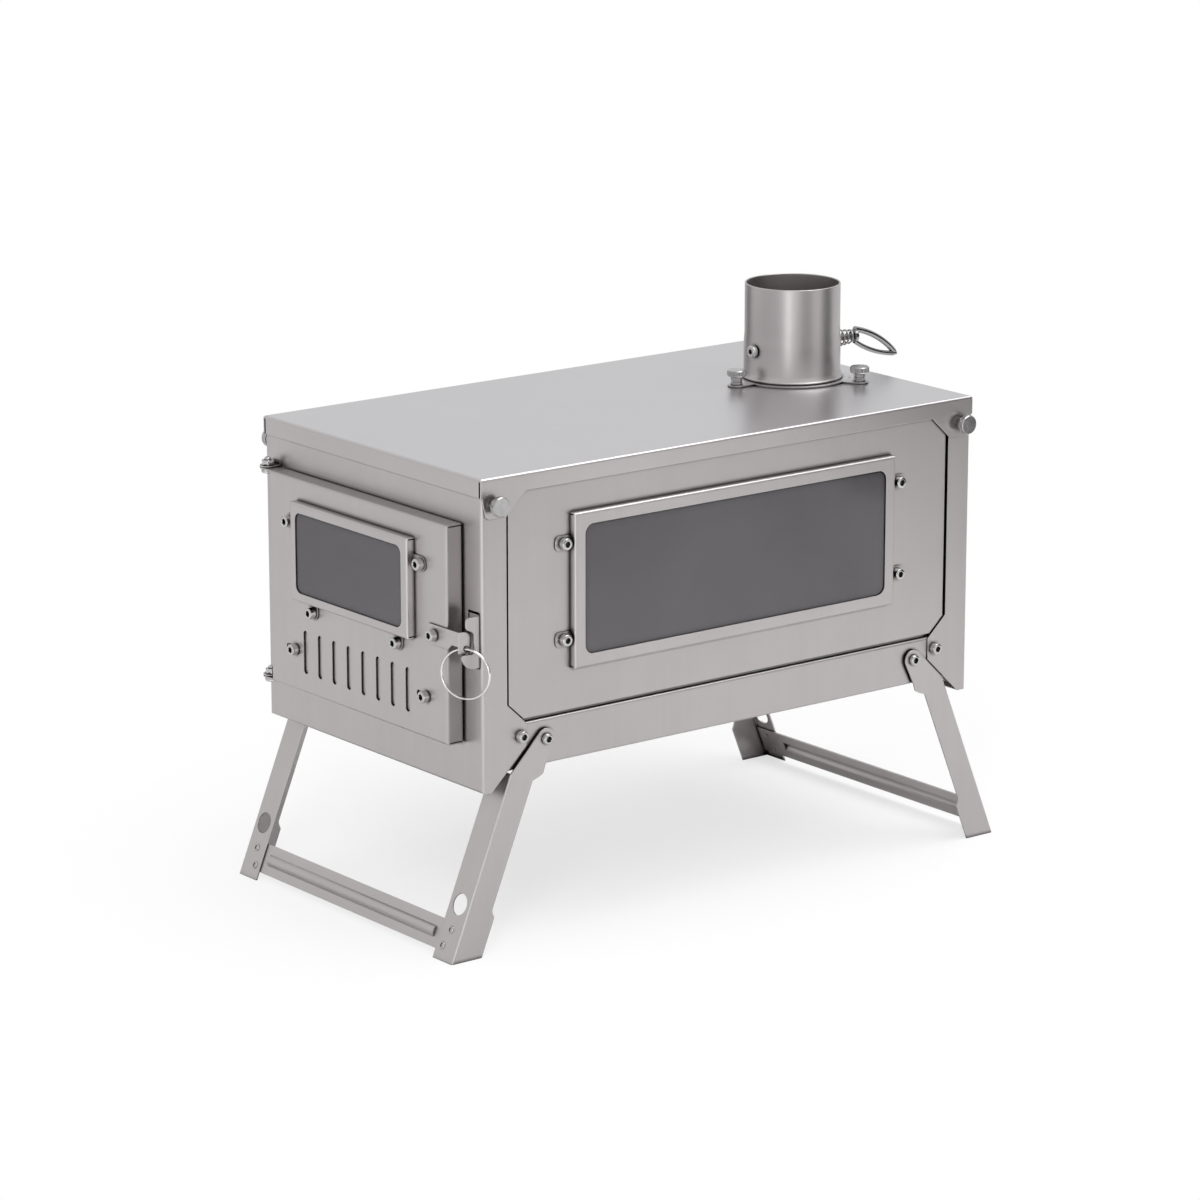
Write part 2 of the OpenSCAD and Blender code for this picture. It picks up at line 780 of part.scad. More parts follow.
module keeper_hook() {
    weld_foot = 15;
    back = -half_l + sheet + hook_t;
    upper = -(half_l + hook_reach);
    throat = -(half_l + throat_reach);
    nose = -(half_l + nose_reach);
    color(titanium) centred() {
        translate([hook_x - hook_t, 0, 0]) rotate([90, 0, 90]) linear_extrude(hook_t) polygon([
            [back, hook_top], [upper + 2, hook_top], [upper + 0.6, hook_top - 0.6],
            [upper, hook_top - 2], [upper, throat_top + 1], [upper + 0.8, throat_top],
            [throat - 1.6, throat_top - 1.6], [throat - 0.3, throat_top - 3],
            [throat, throat_top - 5], [throat, notch_z + 2.4], [throat - 0.5, notch_z + 1],
            [throat - 1.8, notch_z], [nose + 0.8, notch_z], [nose, notch_z - 0.8],
            [nose + 0.3, notch_z - 2.8], [nose + 1.4, notch_z - 5],
            [nose + 3.2, notch_z - 7], [nose + 5.6, notch_z - 8.3],
            [nose + 8, hook_bottom], [back, hook_bottom]
        ]);
        // foot welded to the inside of the front cap
        translate([hook_x - hook_t - weld_foot, -half_l + sheet, hook_bottom])
            cube([weld_foot + hook_t, hook_t, hook_top - hook_bottom]);
    }
}

// ---- flue ----

module flue_flange() {
    ear_end = 5.5;
    color(titanium) centred() translate([0, flue_y, stand_h]) difference() {
        union() {
            cylinder(h = flange_t, r = collar_r + 6);
            for (a = ear_angles) {
                rotate(a) {
                    translate([ear_r, 0, 0]) cylinder(h = flange_t, r = ear_end);
                    translate([collar_r, -ear_end, 0]) cube([ear_r - collar_r, 2 * ear_end, flange_t]);
                }
            }
        }
        translate([0, 0, -eps]) cylinder(h = flange_t + 2 * eps, r = collar_in - 0.6);
        for (a = ear_angles) {
            rotate(a) translate([ear_r, 0, 0]) bolt_hole();
        }
    }
}

module flue_collar() {
    foot_h = 3.4;
    step_h = shaft_h - flange_t + 6.5;
    color(titanium) centred() difference() {
        translate([0, flue_y, stand_h + flange_t]) rotate_extrude($fn = 96) polygon([
            [collar_in, 0], [lip_r, 0], [lip_r, 1], [lip_r - 0.7, 1.6],
            [collar_low_r + 0.5, foot_h - 0.6], [collar_low_r, foot_h + 1],
            [collar_low_r, step_h - 0.6], [collar_r, step_h],
            [collar_r, flue_h - flange_t], [collar_in, flue_h - flange_t]
        ]);
        translate([0, flue_y, shaft_z]) rotate([90, 0, 0])
            cylinder(h = flue_d + 4, r = shaft_d / 2 + run_fit, center = true);
    }
}

module flue_ear_points() {
    for (a = ear_angles) {
        translate([0, flue_y, stand_h]) rotate(a) translate([ear_r, 0, 0]) children();
    }
}
module flue_thumb_screws() {
    color(steel) centred() flue_ear_points() translate([0, 0, flange_t])
        thumb_screw(flange_t + sheet + nut_h + 0.5, 5.5);
}
module flue_nuts() {
    color(steel) centred() flue_ear_points() translate([0, 0, -sheet]) nut();
}

// ---- fire grate, standing on its folded sides in the tray ----

module fire_grate() {
    side_room = 13;
    end_room = 35;
    grate_w = 2 * (tray_half_w - side_room);
    grate_l = body_l - 2 * end_room;
    grate_h = 12;
    bar_pitch = 22;
    slot_wide = 8;
    slot_end = 20;
    n = floor((grate_l - bar_pitch) / bar_pitch);
    floor_z = tray_bottom + sheet;
    color(titanium_dark) centred() difference() {
        translate([-grate_w / 2, -grate_l / 2, floor_z]) cube([grate_w, grate_l, grate_h]);
        translate([-grate_w / 2 + sheet, -grate_l / 2 - 1, floor_z - 1])
            cube([grate_w - 2 * sheet, grate_l + 2, grate_h - sheet + 1]);
        for (i = [0 : n - 1]) {
            translate([0, (i - (n - 1) / 2) * bar_pitch, floor_z + grate_h])
                linear_extrude(4 * sheet, center = true)
                round_rect(grate_w - 2 * slot_end, slot_wide, slot_wide / 2 - 0.1);
        }
    }
}

// ---- door ----

module door_screw_points() {
    for (p = pane_screws) {
        translate([pane_x + p[0], door_front, down(pane_drop) + p[1]]) children();
    }
}

module air_slots(shift) {
    for (i = [0 : slot_n - 1]) {
        translate([(i - (slot_n - 1) / 2) * slot_pitch + shift, down(slot_drop)])
            round_rect(slot_w, slot_h, slot_w / 2 - 0.01);
    }
}

module door_shell() {
    slide_travel = slot_pitch / 2;
    color(titanium) centred() difference() {
        union() {
            translate([door_x, -half_l - door_gap, down(door_drop + door_h / 2)])
                difference() {
                    pan(door_w, door_h, door_d, sheet, bend_r);
                    corner_slits(door_w, door_h, door_d, sheet, bend_r);
                }
            for (z = [down(door_drop) - sheet, door_bottom]) {
                translate([pin_x, pin_y, z]) cylinder(h = sheet, r = ear_half);
                translate([pin_x, pin_y - ear_half, z])
                    cube([door_left - pin_x + bend_r, 2 * ear_half, sheet]);
            }
        }
        for (z = [down(door_drop), door_bottom]) {
            translate([pin_x, pin_y, z]) cylinder(h = 8, r = bolt_d / 2 + run_fit, center = true);
        }
        translate([0, door_front, 0]) rotate([90, 0, 0]) linear_extrude(4 * sheet, center = true) {
            air_slots(0);
            translate([pane_x, down(pane_drop + pane_h / 2)])
                round_rect(pane_w - 2 * pane_rim - 8, pane_h - 2 * pane_rim - 8, pane_r);
            for (s = [-1, 1]) {
                translate([s * slide_x + slide_rest - slide_travel / 2, down(slot_drop)])
                    round_rect(slide_travel + bolt_d + 1, bolt_d + 0.6, bolt_d / 2 + 0.29);
            }
        }
        door_screw_points() rotate([90, 0, 0]) bolt_hole();
        translate([latch_screw_x, door_front, latch_mid]) rotate([90, 0, 0]) bolt_hole();
    }
}

module door_window_frame() {
    tab_w = 9;
    side_tab = pane_screws[0][1];
    low_tab = pane_screws[2][1];
    color(titanium) centred() difference() {
        union() {
            translate([pane_x, door_front, down(pane_drop + pane_h / 2)])
                difference() {
                    pan(pane_w, pane_h, pane_d, sheet, frame_bend_r);
                    corner_slits(pane_w, pane_h, pane_d, sheet, frame_bend_r);
                }
            for (s = [-1, 1]) {
                translate([pane_x + s * (pane_w / 2 + 2.6), door_front, down(pane_drop) + side_tab])
                    rotate([90, 0, 0]) linear_extrude(sheet) round_rect(18, tab_w, 4);
                translate([pane_x + s * pane_screws[3][0], door_front, down(pane_drop + pane_h) - 1])
                    rotate([90, 0, 0]) linear_extrude(sheet) round_rect(tab_w, 18, 4);
            }
        }
        translate([pane_x, pane_front, down(pane_drop + pane_h / 2)]) rotate([90, 0, 0])
            linear_extrude(4 * sheet, center = true)
            round_rect(pane_w - 2 * pane_rim, pane_h - 2 * pane_rim, pane_r);
        door_screw_points() rotate([90, 0, 0]) bolt_hole();
        translate([pane_x - pane_w / 2 + sheet, pane_front + sheet, down(pane_drop + pane_h) + sheet])
            cube([pane_w - 2 * sheet, pane_d - sheet + eps, pane_h - 2 * sheet]);
    }
}

module pane_stack(t, front_y) {
    w = pane_w - 2 * pane_room;
    h = pane_h - 2 * pane_room;
    translate([pane_x, front_y + t, down(pane_drop + pane_h / 2)]) rotate([90, 0, 0])
        linear_extrude(t) difference() {
            square([w, h], center = true);
            children();
        }
}
module door_glass() {
    color(smoked) centred() pane_stack(glass_t, pane_front + sheet);
}
module door_glass_gasket() {
    color(rope_grey) centred() pane_stack(pane_d - sheet - glass_t, pane_front + sheet + glass_t)
        round_rect(pane_w - 2 * pane_rim + 1, pane_h - 2 * pane_rim + 1, pane_r);
}
module door_window_screws() {
    color(steel) centred() door_screw_points() translate([0, -sheet, 0]) to_front()
        socket_screw(2 * sheet + nut_h + 0.6);
}
module door_window_nuts() {
    color(steel) centred() door_screw_points() translate([0, sheet, 0]) to_front() nut();
}
module latch_screw() {
    color(steel) centred() translate([latch_screw_x, latch_face - move_gap, latch_mid]) to_front()
        socket_screw(2 * move_gap + 2 * sheet + nut_h + 0.6);
}
module latch_nut() {
    color(steel) centred() translate([latch_screw_x, door_front + sheet, latch_mid]) to_front() nut();
}

// ---- sliding air plate behind the slots ----

module air_points() {
    for (s = [-1, 1]) {
        translate([s * slide_x + slide_rest, 0, down(slot_drop)]) children();
    }
}
module air_plate() {
    plate_w = 2 * slide_x + 14;
    plate_h = slot_h + 9;
    color(titanium_dark) centred() difference() {
        translate([slide_rest - plate_w / 2, air_back, down(slot_drop) - plate_h / 2])
            cube([plate_w, sheet, plate_h]);
        translate([0, air_back, 0]) rotate([90, 0, 0]) linear_extrude(4 * sheet, center = true)
            air_slots(slot_pitch / 2);
        air_points() translate([0, air_back, 0]) rotate([90, 0, 0]) bolt_hole();
    }
}
module air_screws() {
    color(steel) centred() air_points() translate([0, door_front - move_gap, 0]) to_front()
        socket_screw(move_gap + 2 * sheet + air_gap + nut_h + 0.6);
}
module air_nuts() {
    color(steel) centred() air_points() translate([0, air_back + sheet, 0]) to_front() nut();
}

// ---- latch lever and pull ring ----

module latch_lever() {
    plate_left = latch_screw_x - 7;
    corner = 2;
    bend_x = latch_leg_x - sheet;
    rise_in = 10;
    rise_run = 4;
    bar_low = latch_mid - latch_h / 2;
    bar_top = latch_mid + latch_h / 2;
    leg_y = ring_hole_y - 2;
    leg_z = ring_hole_z + 2.4;
    leg_top = bar_top - leg_round_r;
    color(titanium) centred() {
        translate([0, latch_face + sheet, 0]) rotate([90, 0, 0]) linear_extrude(sheet) difference() {
            union() {
                polygon([
                    [plate_left + corner, bar_low],
                    [bend_x - rise_in, bar_low],
                    [bend_x - rise_in + rise_run, bar_low + ring_rise],
                    [bend_x + eps, bar_low + ring_rise],
                    [bend_x + eps, bar_top],
                    [plate_left + corner, bar_top]
                ]);
                translate([plate_left, bar_low + corner])
                    square([2 * corner, latch_h - 2 * corner]);
                for (z = [bar_low + corner, bar_top - corner]) {
                    translate([plate_left + corner, z]) circle(corner);
                }
            }
            translate([latch_screw_x, latch_mid]) circle(r = bolt_d / 2 + run_fit);
        }
        translate([bend_x, 0, 0]) rotate([90, 0, 90]) linear_extrude(sheet) difference() {
            intersection() {
                union() {
                    translate([latch_face, bar_low + ring_rise])
                        square([leg_y - latch_face, latch_h - ring_rise]);
                    for (z = [leg_z, leg_top]) {
                        translate([leg_y, z]) circle(leg_round_r);
                    }
                    translate([leg_y, leg_z]) square([leg_round_r, leg_top - leg_z]);
                }
                translate([latch_face, bar_low - latch_h]) square([2 * latch_h, 2 * latch_h]);
            }
            translate([ring_hole_y, ring_hole_z]) circle(r = ring_hole_r);
        }
    }
}

// Split ring: two coils lying side by side, hanging from the lever's hole.
module pull_ring() {
    coil = ring_wire / 2;
    color(steel) centred()
        translate([latch_leg_x - sheet / 2, ring_hole_y, ring_hole_z - ring_off - ring_mean_r])
        rotate([0, 0, ring_turn]) rotate([90, 0, 0]) rotate_extrude($fn = 72) {
            translate([ring_mean_r, coil * 0.7]) circle(coil, $fn = 24);
            translate([ring_mean_r, -coil * 0.7]) circle(coil, $fn = 24);
        }
}

// ---- folding leg frames ----
// Leg profile in (u, v): u runs down the leg from its pivot, v towards the outside.

function tangent_angle(u, v, side) =
    atan2(v, u) + side * acos(pivot_r / sqrt(u * u + v * v));
function on_circle(a) = [pivot_r * cos(a), pivot_r * sin(a)];

module leg_web() {
    knee = [15, -5.3];
    long = leg_tip_u + 20;
    circle(pivot_r);
    polygon([
        [0, 0], on_circle(tangent_angle(knee[0], knee[1], -1)), knee, [20, -5.6], [22.5, -3.5],
        [26, 0.4], [leg_tip_u - foot_l - 4, 0.4], [leg_tip_u - foot_l - 2.4, -0.6],
        [leg_tip_u - foot_l, -foot_w], [long, -foot_w], [long, leg_side_w],
        [leg_flange_u, leg_side_w], on_circle(tangent_angle(leg_flange_u, leg_side_w, 1))
    ]);
}

// One leg built along -Z of its pivot, outside towards -Y, on the right-hand side.
module leg() {
    long = leg_tip_u + 20;
    r = 1.5;
    difference() {
        union() {
            difference() {
                translate([leg_in, 0, 0]) rotate([90, 0, 90]) linear_extrude(leg_t)
                    rotate(-90) mirror([0, 1]) leg_web();
                // room for the bend between web and flange
                translate([leg_in - 1, -leg_side_w - 1, -long]) cube([4, r + 1, long - leg_flange_u]);
            }
            translate([leg_out - leg_flange_w, -leg_side_w, -long])
                cube([leg_flange_w - r, leg_t, long - leg_flange_u]);
            translate([leg_out - r, -leg_side_w + r, -long]) linear_extrude(long - leg_flange_u)
                difference() {
                    intersection() {
                        circle(r);
                        translate([0, -r]) square(r);
                    }
                    circle(r - leg_t);
                }
        }
        translate([leg_out - leg_flange_w / 2, -leg_side_w, -(leg_tip_u - leg_hole_up)]) rotate([90, 0, 0])
            cylinder(h = 4 * leg_t, d = leg_hole_d, center = true);
        rotate([0, 90, 0]) translate([0, 0, leg_out]) pivot_hole();
        leg_rivet_points() rotate([90, 0, 0]) cylinder(h = 6, r = rivet_r, center = true);
    }
}

rivet_r = 1.3;
rivet_spots = [[10.1, -4.2], [13.6, 6.2]];
module leg_rivet_points() {
    for (p = rivet_spots) {
        translate([leg_out - p[0], -leg_side_w, -(bar_u + p[1])]) children();
    }
}

// Stand a leg-frame piece at the front pivot, slanted, and cut it at the ground.
module at_front_pivot() {
    difference() {
        translate([0, -pivot_y, pivot_z]) rotate([-leg_tilt, 0, 0]) children();
        translate([-body_w, -2 * body_l, -stand_h]) cube([2 * body_w, 2 * body_l, stand_h]);
    }
}

module leg_bar() {
    bar_w = 2 * (leg_in - 0.6);
    bead_end = 2 * (leg_out - leg_flange_w) - 12;
    difference() {
        union() {
            translate([-bar_w / 2, -leg_side_w + leg_t, -bar_u - bar_h / 2])
                cube([bar_w, leg_t, bar_h]);
            translate([0, -leg_side_w + leg_t, -bar_u]) intersection() {
                translate([-bead_end / 2, -bar_bead_rise, -bar_bead_h / 2])
                    cube([bead_end, bar_bead_rise + leg_t, bar_bead_h]);
                translate([-bead_end / 2, bar_bead_h / 2 - bar_bead_rise, 0]) rotate([0, 90, 0])
                    cylinder(h = bead_end, r = bar_bead_h / 2);
            }
        }
        // hollow back of the bead
        translate([-bead_end / 2 + leg_t, bar_bead_h / 2 - bar_bead_rise - leg_side_w + leg_t, -bar_u])
            rotate([0, 90, 0]) cylinder(h = bead_end - 2 * leg_t, r = bar_bead_h / 2 - leg_t);
        both_sides() leg_rivet_points() rotate([90, 0, 0])
            cylinder(h = 8, r = rivet_r, center = true);
    }
}

module leg_rivets() {
    both_sides() leg_rivet_points() {
        rotate([90, 0, 0]) cylinder(h = 0.7, r = rivet_r + 0.8);
        translate([0, 2 * leg_t + 0.5, 0]) rotate([90, 0, 0]) cylinder(h = 2 * leg_t + 0.6, r = rivet_r);
    }
}

module front_leg_right() {
    color(titanium) centred() at_front_pivot() leg();
}
module front_leg_left() {
    color(titanium) centred() mirror([1, 0, 0]) at_front_pivot() leg();
}
module front_leg_bar() {
    color(titanium) centred() at_front_pivot() leg_bar();
}
module front_leg_rivets() {
    color(steel) centred() at_front_pivot() leg_rivets();
}
module rear_leg_right() {
    color(titanium) centred() mirror([0, 1, 0]) at_front_pivot() leg();
}
module rear_leg_left() {
    color(titanium) centred() mirror([0, 1, 0]) mirror([1, 0, 0]) at_front_pivot() leg();
}
module rear_leg_bar() {
    color(titanium) centred() mirror([0, 1, 0]) at_front_pivot() leg_bar();
}
module rear_leg_rivets() {
    color(steel) centred() mirror([0, 1, 0]) at_front_pivot() leg_rivets();
}

// ---- flue damper ----

disc_screw_y = 14;
module damper_disc() {
    color(titanium_dark) centred() translate([shaft_d / 2, flue_y, shaft_z]) rotate([0, 90, 0])
        difference() {
            cylinder(h = disc_t, r = sqrt(disc_r * disc_r - 9), $fn = 96);
            for (s = [-1, 1]) {
                translate([0, s * disc_screw_y, 0]) cylinder(h = 4, r = 1.3, center = true);
            }
        }
}
module damper_disc_screws() {
    color(steel) centred() for (s = [-1, 1]) {
        translate([shaft_d / 2 + disc_t, flue_y + s * disc_screw_y, shaft_z]) rotate([0, 90, 0]) {
            cylinder(h = 1.4, r = 2.4);
            translate([0, 0, -disc_t - shaft_d + 0.8]) cylinder(h = disc_t + shaft_d - 0.8, r = 1.2);
        }
    }
}
module damper_shaft() {
    color(steel) centred() difference() {
        translate([0, shaft_front, shaft_z]) rotate([-90, 0, 0])
            cylinder(h = boss_y - shaft_front, d = shaft_d);
        for (s = [-1, 1]) {
            translate([shaft_d / 2, flue_y + s * disc_screw_y, shaft_z]) rotate([0, 90, 0])
                cylinder(h = 2 * shaft_d - 0.4, r = 1.2, center = true);
        }
    }
}
module damper_end_screw() {
    screw_r = 3.9;
    screw_h = 3.2;
    color(steel) centred() translate([0, shaft_front, shaft_z]) to_front() difference() {
        rotate_extrude() polygon([
            [0, 0], [screw_r, 0], [screw_r, screw_h - 0.6], [screw_r - 0.6, screw_h], [0, screw_h]
        ]);
        translate([-screw_r - 1, -0.5, screw_h - 1.2]) cube([2 * screw_r + 2, 1, 2]);
    }
}

// Arc of round wire in the YZ plane from p to q, bulging by sag to its left.
module wire_arc(p, q, sag, r) {
    c = norm(q - p);
    big = (c * c / 4 + sag * sag) / (2 * sag);
    dir = atan2(q[1] - p[1], q[0] - p[0]);
    mid = (p + q) / 2;
    centre = mid - (big - sag) * [cos(dir + 90), sin(dir + 90)];
    half = asin(c / 2 / big);
    rotate([90, 0, 90]) translate(centre) rotate(dir + 90 - half)
        rotate_extrude(angle = 2 * half, $fn = 96) translate([big, 0]) circle(r, $fn = 24);
}

module damper_handle() {
    top = [boss_y + boss_t - 0.6, shaft_z + 3.6];
    low = [boss_y + boss_t - 0.4, shaft_z - 3.4];
    tip = [boss_y + loop_l, shaft_z - loop_drop + 0.6];
    tip_low = [boss_y + loop_l - 0.6, shaft_z - loop_drop + 0.3];
    color(steel) centred() {
        translate([0, boss_y, shaft_z]) rotate([-90, 0, 0]) cylinder(h = boss_t, r = 5.2);
        wire_arc(top, tip, 3, loop_wire / 2);
        mirror_arc(low, tip_low, 2.2, loop_lower_wire / 2);
        translate([0, tip[0], tip[1]]) sphere(loop_wire / 2 + 0.2, $fn = 32);
    }
}
// The same arc bulging to its right.
module mirror_arc(p, q, sag, r) {
    wire_arc(q, p, sag, r);
}

// Conical spring: one tube swept along a tapering helix, straight at both ends.
spring_sides = 6;
spring_rings = 8;
spring_n = spring_turns * spring_rings;
spring_run = spring_l - 2 * spring_wire;
function spring_radius(t) = (spring_big_d * (1 - t) + spring_small_d * t - spring_wire) / 2;
function spring_point(i) =
    let (t = i / spring_n, a = 360 * i / spring_rings, r = spring_radius(t))
    [r * cos(a), spring_start + spring_wire + t * spring_run, r * sin(a)];
function spring_radial(i) = [cos(360 * i / spring_rings), 0, sin(360 * i / spring_rings)];
spring_path = concat(
    [spring_point(0) - [0, spring_wire, 0]],
    [for (i = [0 : spring_n]) spring_point(i)],
    [spring_point(spring_n) + [0, spring_wire, 0]]
);
spring_normals = concat(
    [spring_radial(0)], [for (i = [0 : spring_n]) spring_radial(i)], [spring_radial(spring_n)]
);
function unit(v) = v / norm(v);
function path_tangent(p, i) =
    i == 0 ? [0, 1, 0] :
    i == len(p) - 1 ? [0, 1, 0] :
    unit(unit(p[i + 1] - p[i]) + unit(p[i] - p[i - 1]));
function tube_points(p, normals, r, sides) = [
    for (i = [0 : len(p) - 1])
        let (tan = path_tangent(p, i), b = unit(cross(tan, normals[i])), n = cross(b, tan))
        for (j = [0 : sides - 1]) p[i] + r * (cos(360 * j / sides) * n + sin(360 * j / sides) * b)
];
function tube_faces(rings, sides) = concat(
    [for (i = [0 : rings - 2], j = [0 : sides - 1])
        [i * sides + j, (i + 1) * sides + (j + 1) % sides, i * sides + (j + 1) % sides]],
    [for (i = [0 : rings - 2], j = [0 : sides - 1])
        [i * sides + j, (i + 1) * sides + j, (i + 1) * sides + (j + 1) % sides]],
    [for (j = [1 : sides - 2]) [0, j, j + 1]],
    [for (j = [1 : sides - 2]) [(rings - 1) * sides, (rings - 1) * sides + j + 1,
        (rings - 1) * sides + j]]
);
spring_gap = min([
    for (i = [0 : spring_n], j = [i + spring_rings / 2 : spring_n])
        norm(spring_point(i) - spring_point(j))
]) - spring_wire;

module damper_spring() {
    echo("least gap between the spring's curls, mm", spring_gap);
    color(steel) centred() translate([0, 0, shaft_z]) polyhedron(
        points = tube_points(spring_path, spring_normals, spring_wire / 2, spring_sides),
        faces = tube_faces(len(spring_path), spring_sides)
    );
}

front_cap();
rear_cap();
right_panel();
left_panel();
bottom_tray();
top_plate();
side_window_frame();
side_glass();
side_glass_gasket();
side_window_screws();
side_window_nuts();
lid_thumb_screws();
lid_nuts();
gusset_screws();
gusset_nuts();
leg_pivot_screws();
leg_pivot_washers();
leg_pivot_nuts();
hinge_brackets();
hinge_bolts();
hinge_nuts();
keeper_hook();
flue_flange();
flue_collar();
flue_thumb_screws();
flue_nuts();
fire_grate();
door_shell();
door_window_frame();
door_glass();
door_glass_gasket();
door_window_screws();
door_window_nuts();
latch_screw();
latch_nut();
air_plate();
air_screws();
air_nuts();
latch_lever();
pull_ring();
front_leg_left();
front_leg_right();
front_leg_bar();
front_leg_rivets();
rear_leg_left();
rear_leg_right();
rear_leg_bar();
rear_leg_rivets();
damper_disc();
damper_shaft();
damper_disc_screws();
damper_end_screw();
damper_spring();
damper_handle();
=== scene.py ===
"""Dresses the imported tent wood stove: brushed titanium sheet, smoked glass, polished fasteners and wire,
in a soft studio."""

from math import asin, atan2, cos, pi, radians, sin

import bmesh
import bpy
from bpy.props import FloatProperty, FloatVectorProperty, IntProperty, PointerProperty
from mathutils import Matrix, Vector


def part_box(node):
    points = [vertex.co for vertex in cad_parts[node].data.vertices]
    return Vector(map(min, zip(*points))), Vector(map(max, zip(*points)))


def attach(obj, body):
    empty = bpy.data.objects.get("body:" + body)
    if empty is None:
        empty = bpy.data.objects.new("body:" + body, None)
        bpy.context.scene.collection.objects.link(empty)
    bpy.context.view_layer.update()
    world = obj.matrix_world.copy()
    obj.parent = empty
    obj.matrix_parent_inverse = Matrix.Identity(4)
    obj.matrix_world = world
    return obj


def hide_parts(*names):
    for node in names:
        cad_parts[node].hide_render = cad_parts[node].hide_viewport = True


bl_info = {
    "name": "Tent Wood Stove",
    "version": (1, 0, 0),
    "blender": (4, 5, 0),
    "location": "View3D > Sidebar > Stove",
    "description": "Adds the finishes, fasteners and wire pieces of a folding tent wood stove",
    "category": "Add Mesh",
}

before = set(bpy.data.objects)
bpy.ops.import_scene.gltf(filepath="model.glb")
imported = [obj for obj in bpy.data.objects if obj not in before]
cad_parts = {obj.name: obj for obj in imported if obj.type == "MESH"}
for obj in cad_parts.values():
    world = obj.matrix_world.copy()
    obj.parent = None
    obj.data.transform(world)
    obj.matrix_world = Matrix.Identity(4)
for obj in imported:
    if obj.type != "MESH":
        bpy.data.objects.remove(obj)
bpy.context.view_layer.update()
X, Y, Z = Vector((1, 0, 0)), Vector((0, 1, 0)), Vector((0, 0, 1))


# ---- sizes and colours that a user would change ----


class StoveMetal(bpy.types.PropertyGroup):
    """Finish of the sheet metal."""

    sheet: FloatVectorProperty(
        name="Sheet",
        description="Colour of the brushed titanium walls",
        subtype="COLOR",
        min=0,
        max=1,
        default=(0.56, 0.53, 0.53),
    )
    # painted reflection: the lighter, cooler colour painted on the top plate's upward faces
    top: FloatVectorProperty(
        name="Top",
        description="Colour of the softly reflective top plate",
        subtype="COLOR",
        min=0,
        max=1,
        default=(0.64, 0.628, 0.645),
    )
    shade: FloatVectorProperty(
        name="Inside",
        description="Colour of the dull metal round the fire",
        subtype="COLOR",
        min=0,
        max=1,
        default=(0.28, 0.262, 0.258),
    )
    polished: FloatVectorProperty(
        name="Polished steel",
        description="Colour of the screws, ring, spring and handle",
        subtype="COLOR",
        min=0,
        max=1,
        default=(0.62, 0.61, 0.61),
    )
    glass: FloatVectorProperty(
        name="Glass",
        description="Colour of the smoked panes",
        subtype="COLOR",
        min=0,
        max=1,
        default=(0.117, 0.108, 0.118),
    )
    roughness: FloatProperty(
        name="Roughness",
        description="Roughness of the brushed sheet",
        subtype="FACTOR",
        min=0.1,
        max=0.8,
        default=0.36,
    )
    grain: FloatProperty(
        name="Grain",
        description="Strength of the brushed lines",
        subtype="FACTOR",
        min=0,
        max=1,
        default=0.13,
    )


class StoveFasteners(bpy.types.PropertyGroup):
    """Small details of the screws, nuts and wire."""

    segments: IntProperty(
        name="Round segments",
        description="Points round each screw, a multiple of 12",
        min=24,
        max=96,
        step=12,
        default=36,
    )
    edge: FloatProperty(
        name="Edge",
        description="Width of the rounded edges of the screws",
        subtype="DISTANCE",
        unit="LENGTH",
        min=0.0001,
        max=0.001,
        default=0.00045,
    )
    key_share: FloatProperty(
        name="Key width",
        description="Width of the hexagon socket as a share of the head",
        subtype="FACTOR",
        min=0.3,
        max=0.7,
        default=0.5,
    )
    knurl: FloatProperty(
        name="Knurl depth",
        description="Depth of the grooves round a thumb screw",
        subtype="DISTANCE",
        unit="LENGTH",
        min=0,
        max=0.0006,
        default=0.0003,
    )
    ring_wire: FloatProperty(
        name="Ring wire",
        description="Diameter of the pull ring's wire",
        subtype="DISTANCE",
        unit="LENGTH",
        min=0.0008,
        max=0.0014,
        default=0.0012,
    )
    loop_wire: FloatProperty(
        name="Loop wire",
        description="Diameter of the handle's upper arm",
        subtype="DISTANCE",
        unit="LENGTH",
        min=0.002,
        max=0.0038,
        default=0.0038,
    )


class StoveStudio(bpy.types.PropertyGroup):
    """Floor, lamps and camera."""

    floor: FloatVectorProperty(
        name="Floor",
        description="Colour of the pale floor",
        subtype="COLOR",
        min=0,
        max=1,
        default=(0.955, 0.955, 0.96),
    )
    sky: FloatProperty(
        name="Room light",
        description="Strength of the even light from all round",
        min=0,
        max=2,
        default=0.62,
    )
    mirrored: FloatProperty(
        name="Mirrored room",
        description="Brightness of the room where the metal mirrors it",
        subtype="FACTOR",
        min=0,
        max=1,
        default=0.78,
    )
    overhead: FloatProperty(
        name="Overhead lamp",
        description="Power of the large lamp above",
        unit="POWER",
        min=0,
        max=200,
        default=22,
    )
    side: FloatProperty(
        name="Side lamp",
        description="Power of the lamps beside the camera",
        unit="POWER",
        min=0,
        max=200,
        default=12,
    )
    lens: FloatProperty(
        name="Lens",
        description="Focal length of the camera",
        subtype="DISTANCE_CAMERA",
        unit="CAMERA",
        min=20,
        max=300,
        default=141.46,
    )


# ---- reading the frame ----


def fail_without(condition, message):
    """Stops with a plain message, because a cancelled operator would not."""
    if not condition:
        raise RuntimeError(message)


def middle(points):
    """Centre of the box round these points."""
    return Vector([(min(p[i] for p in points) + max(p[i] for p in points)) / 2 for i in range(3)])


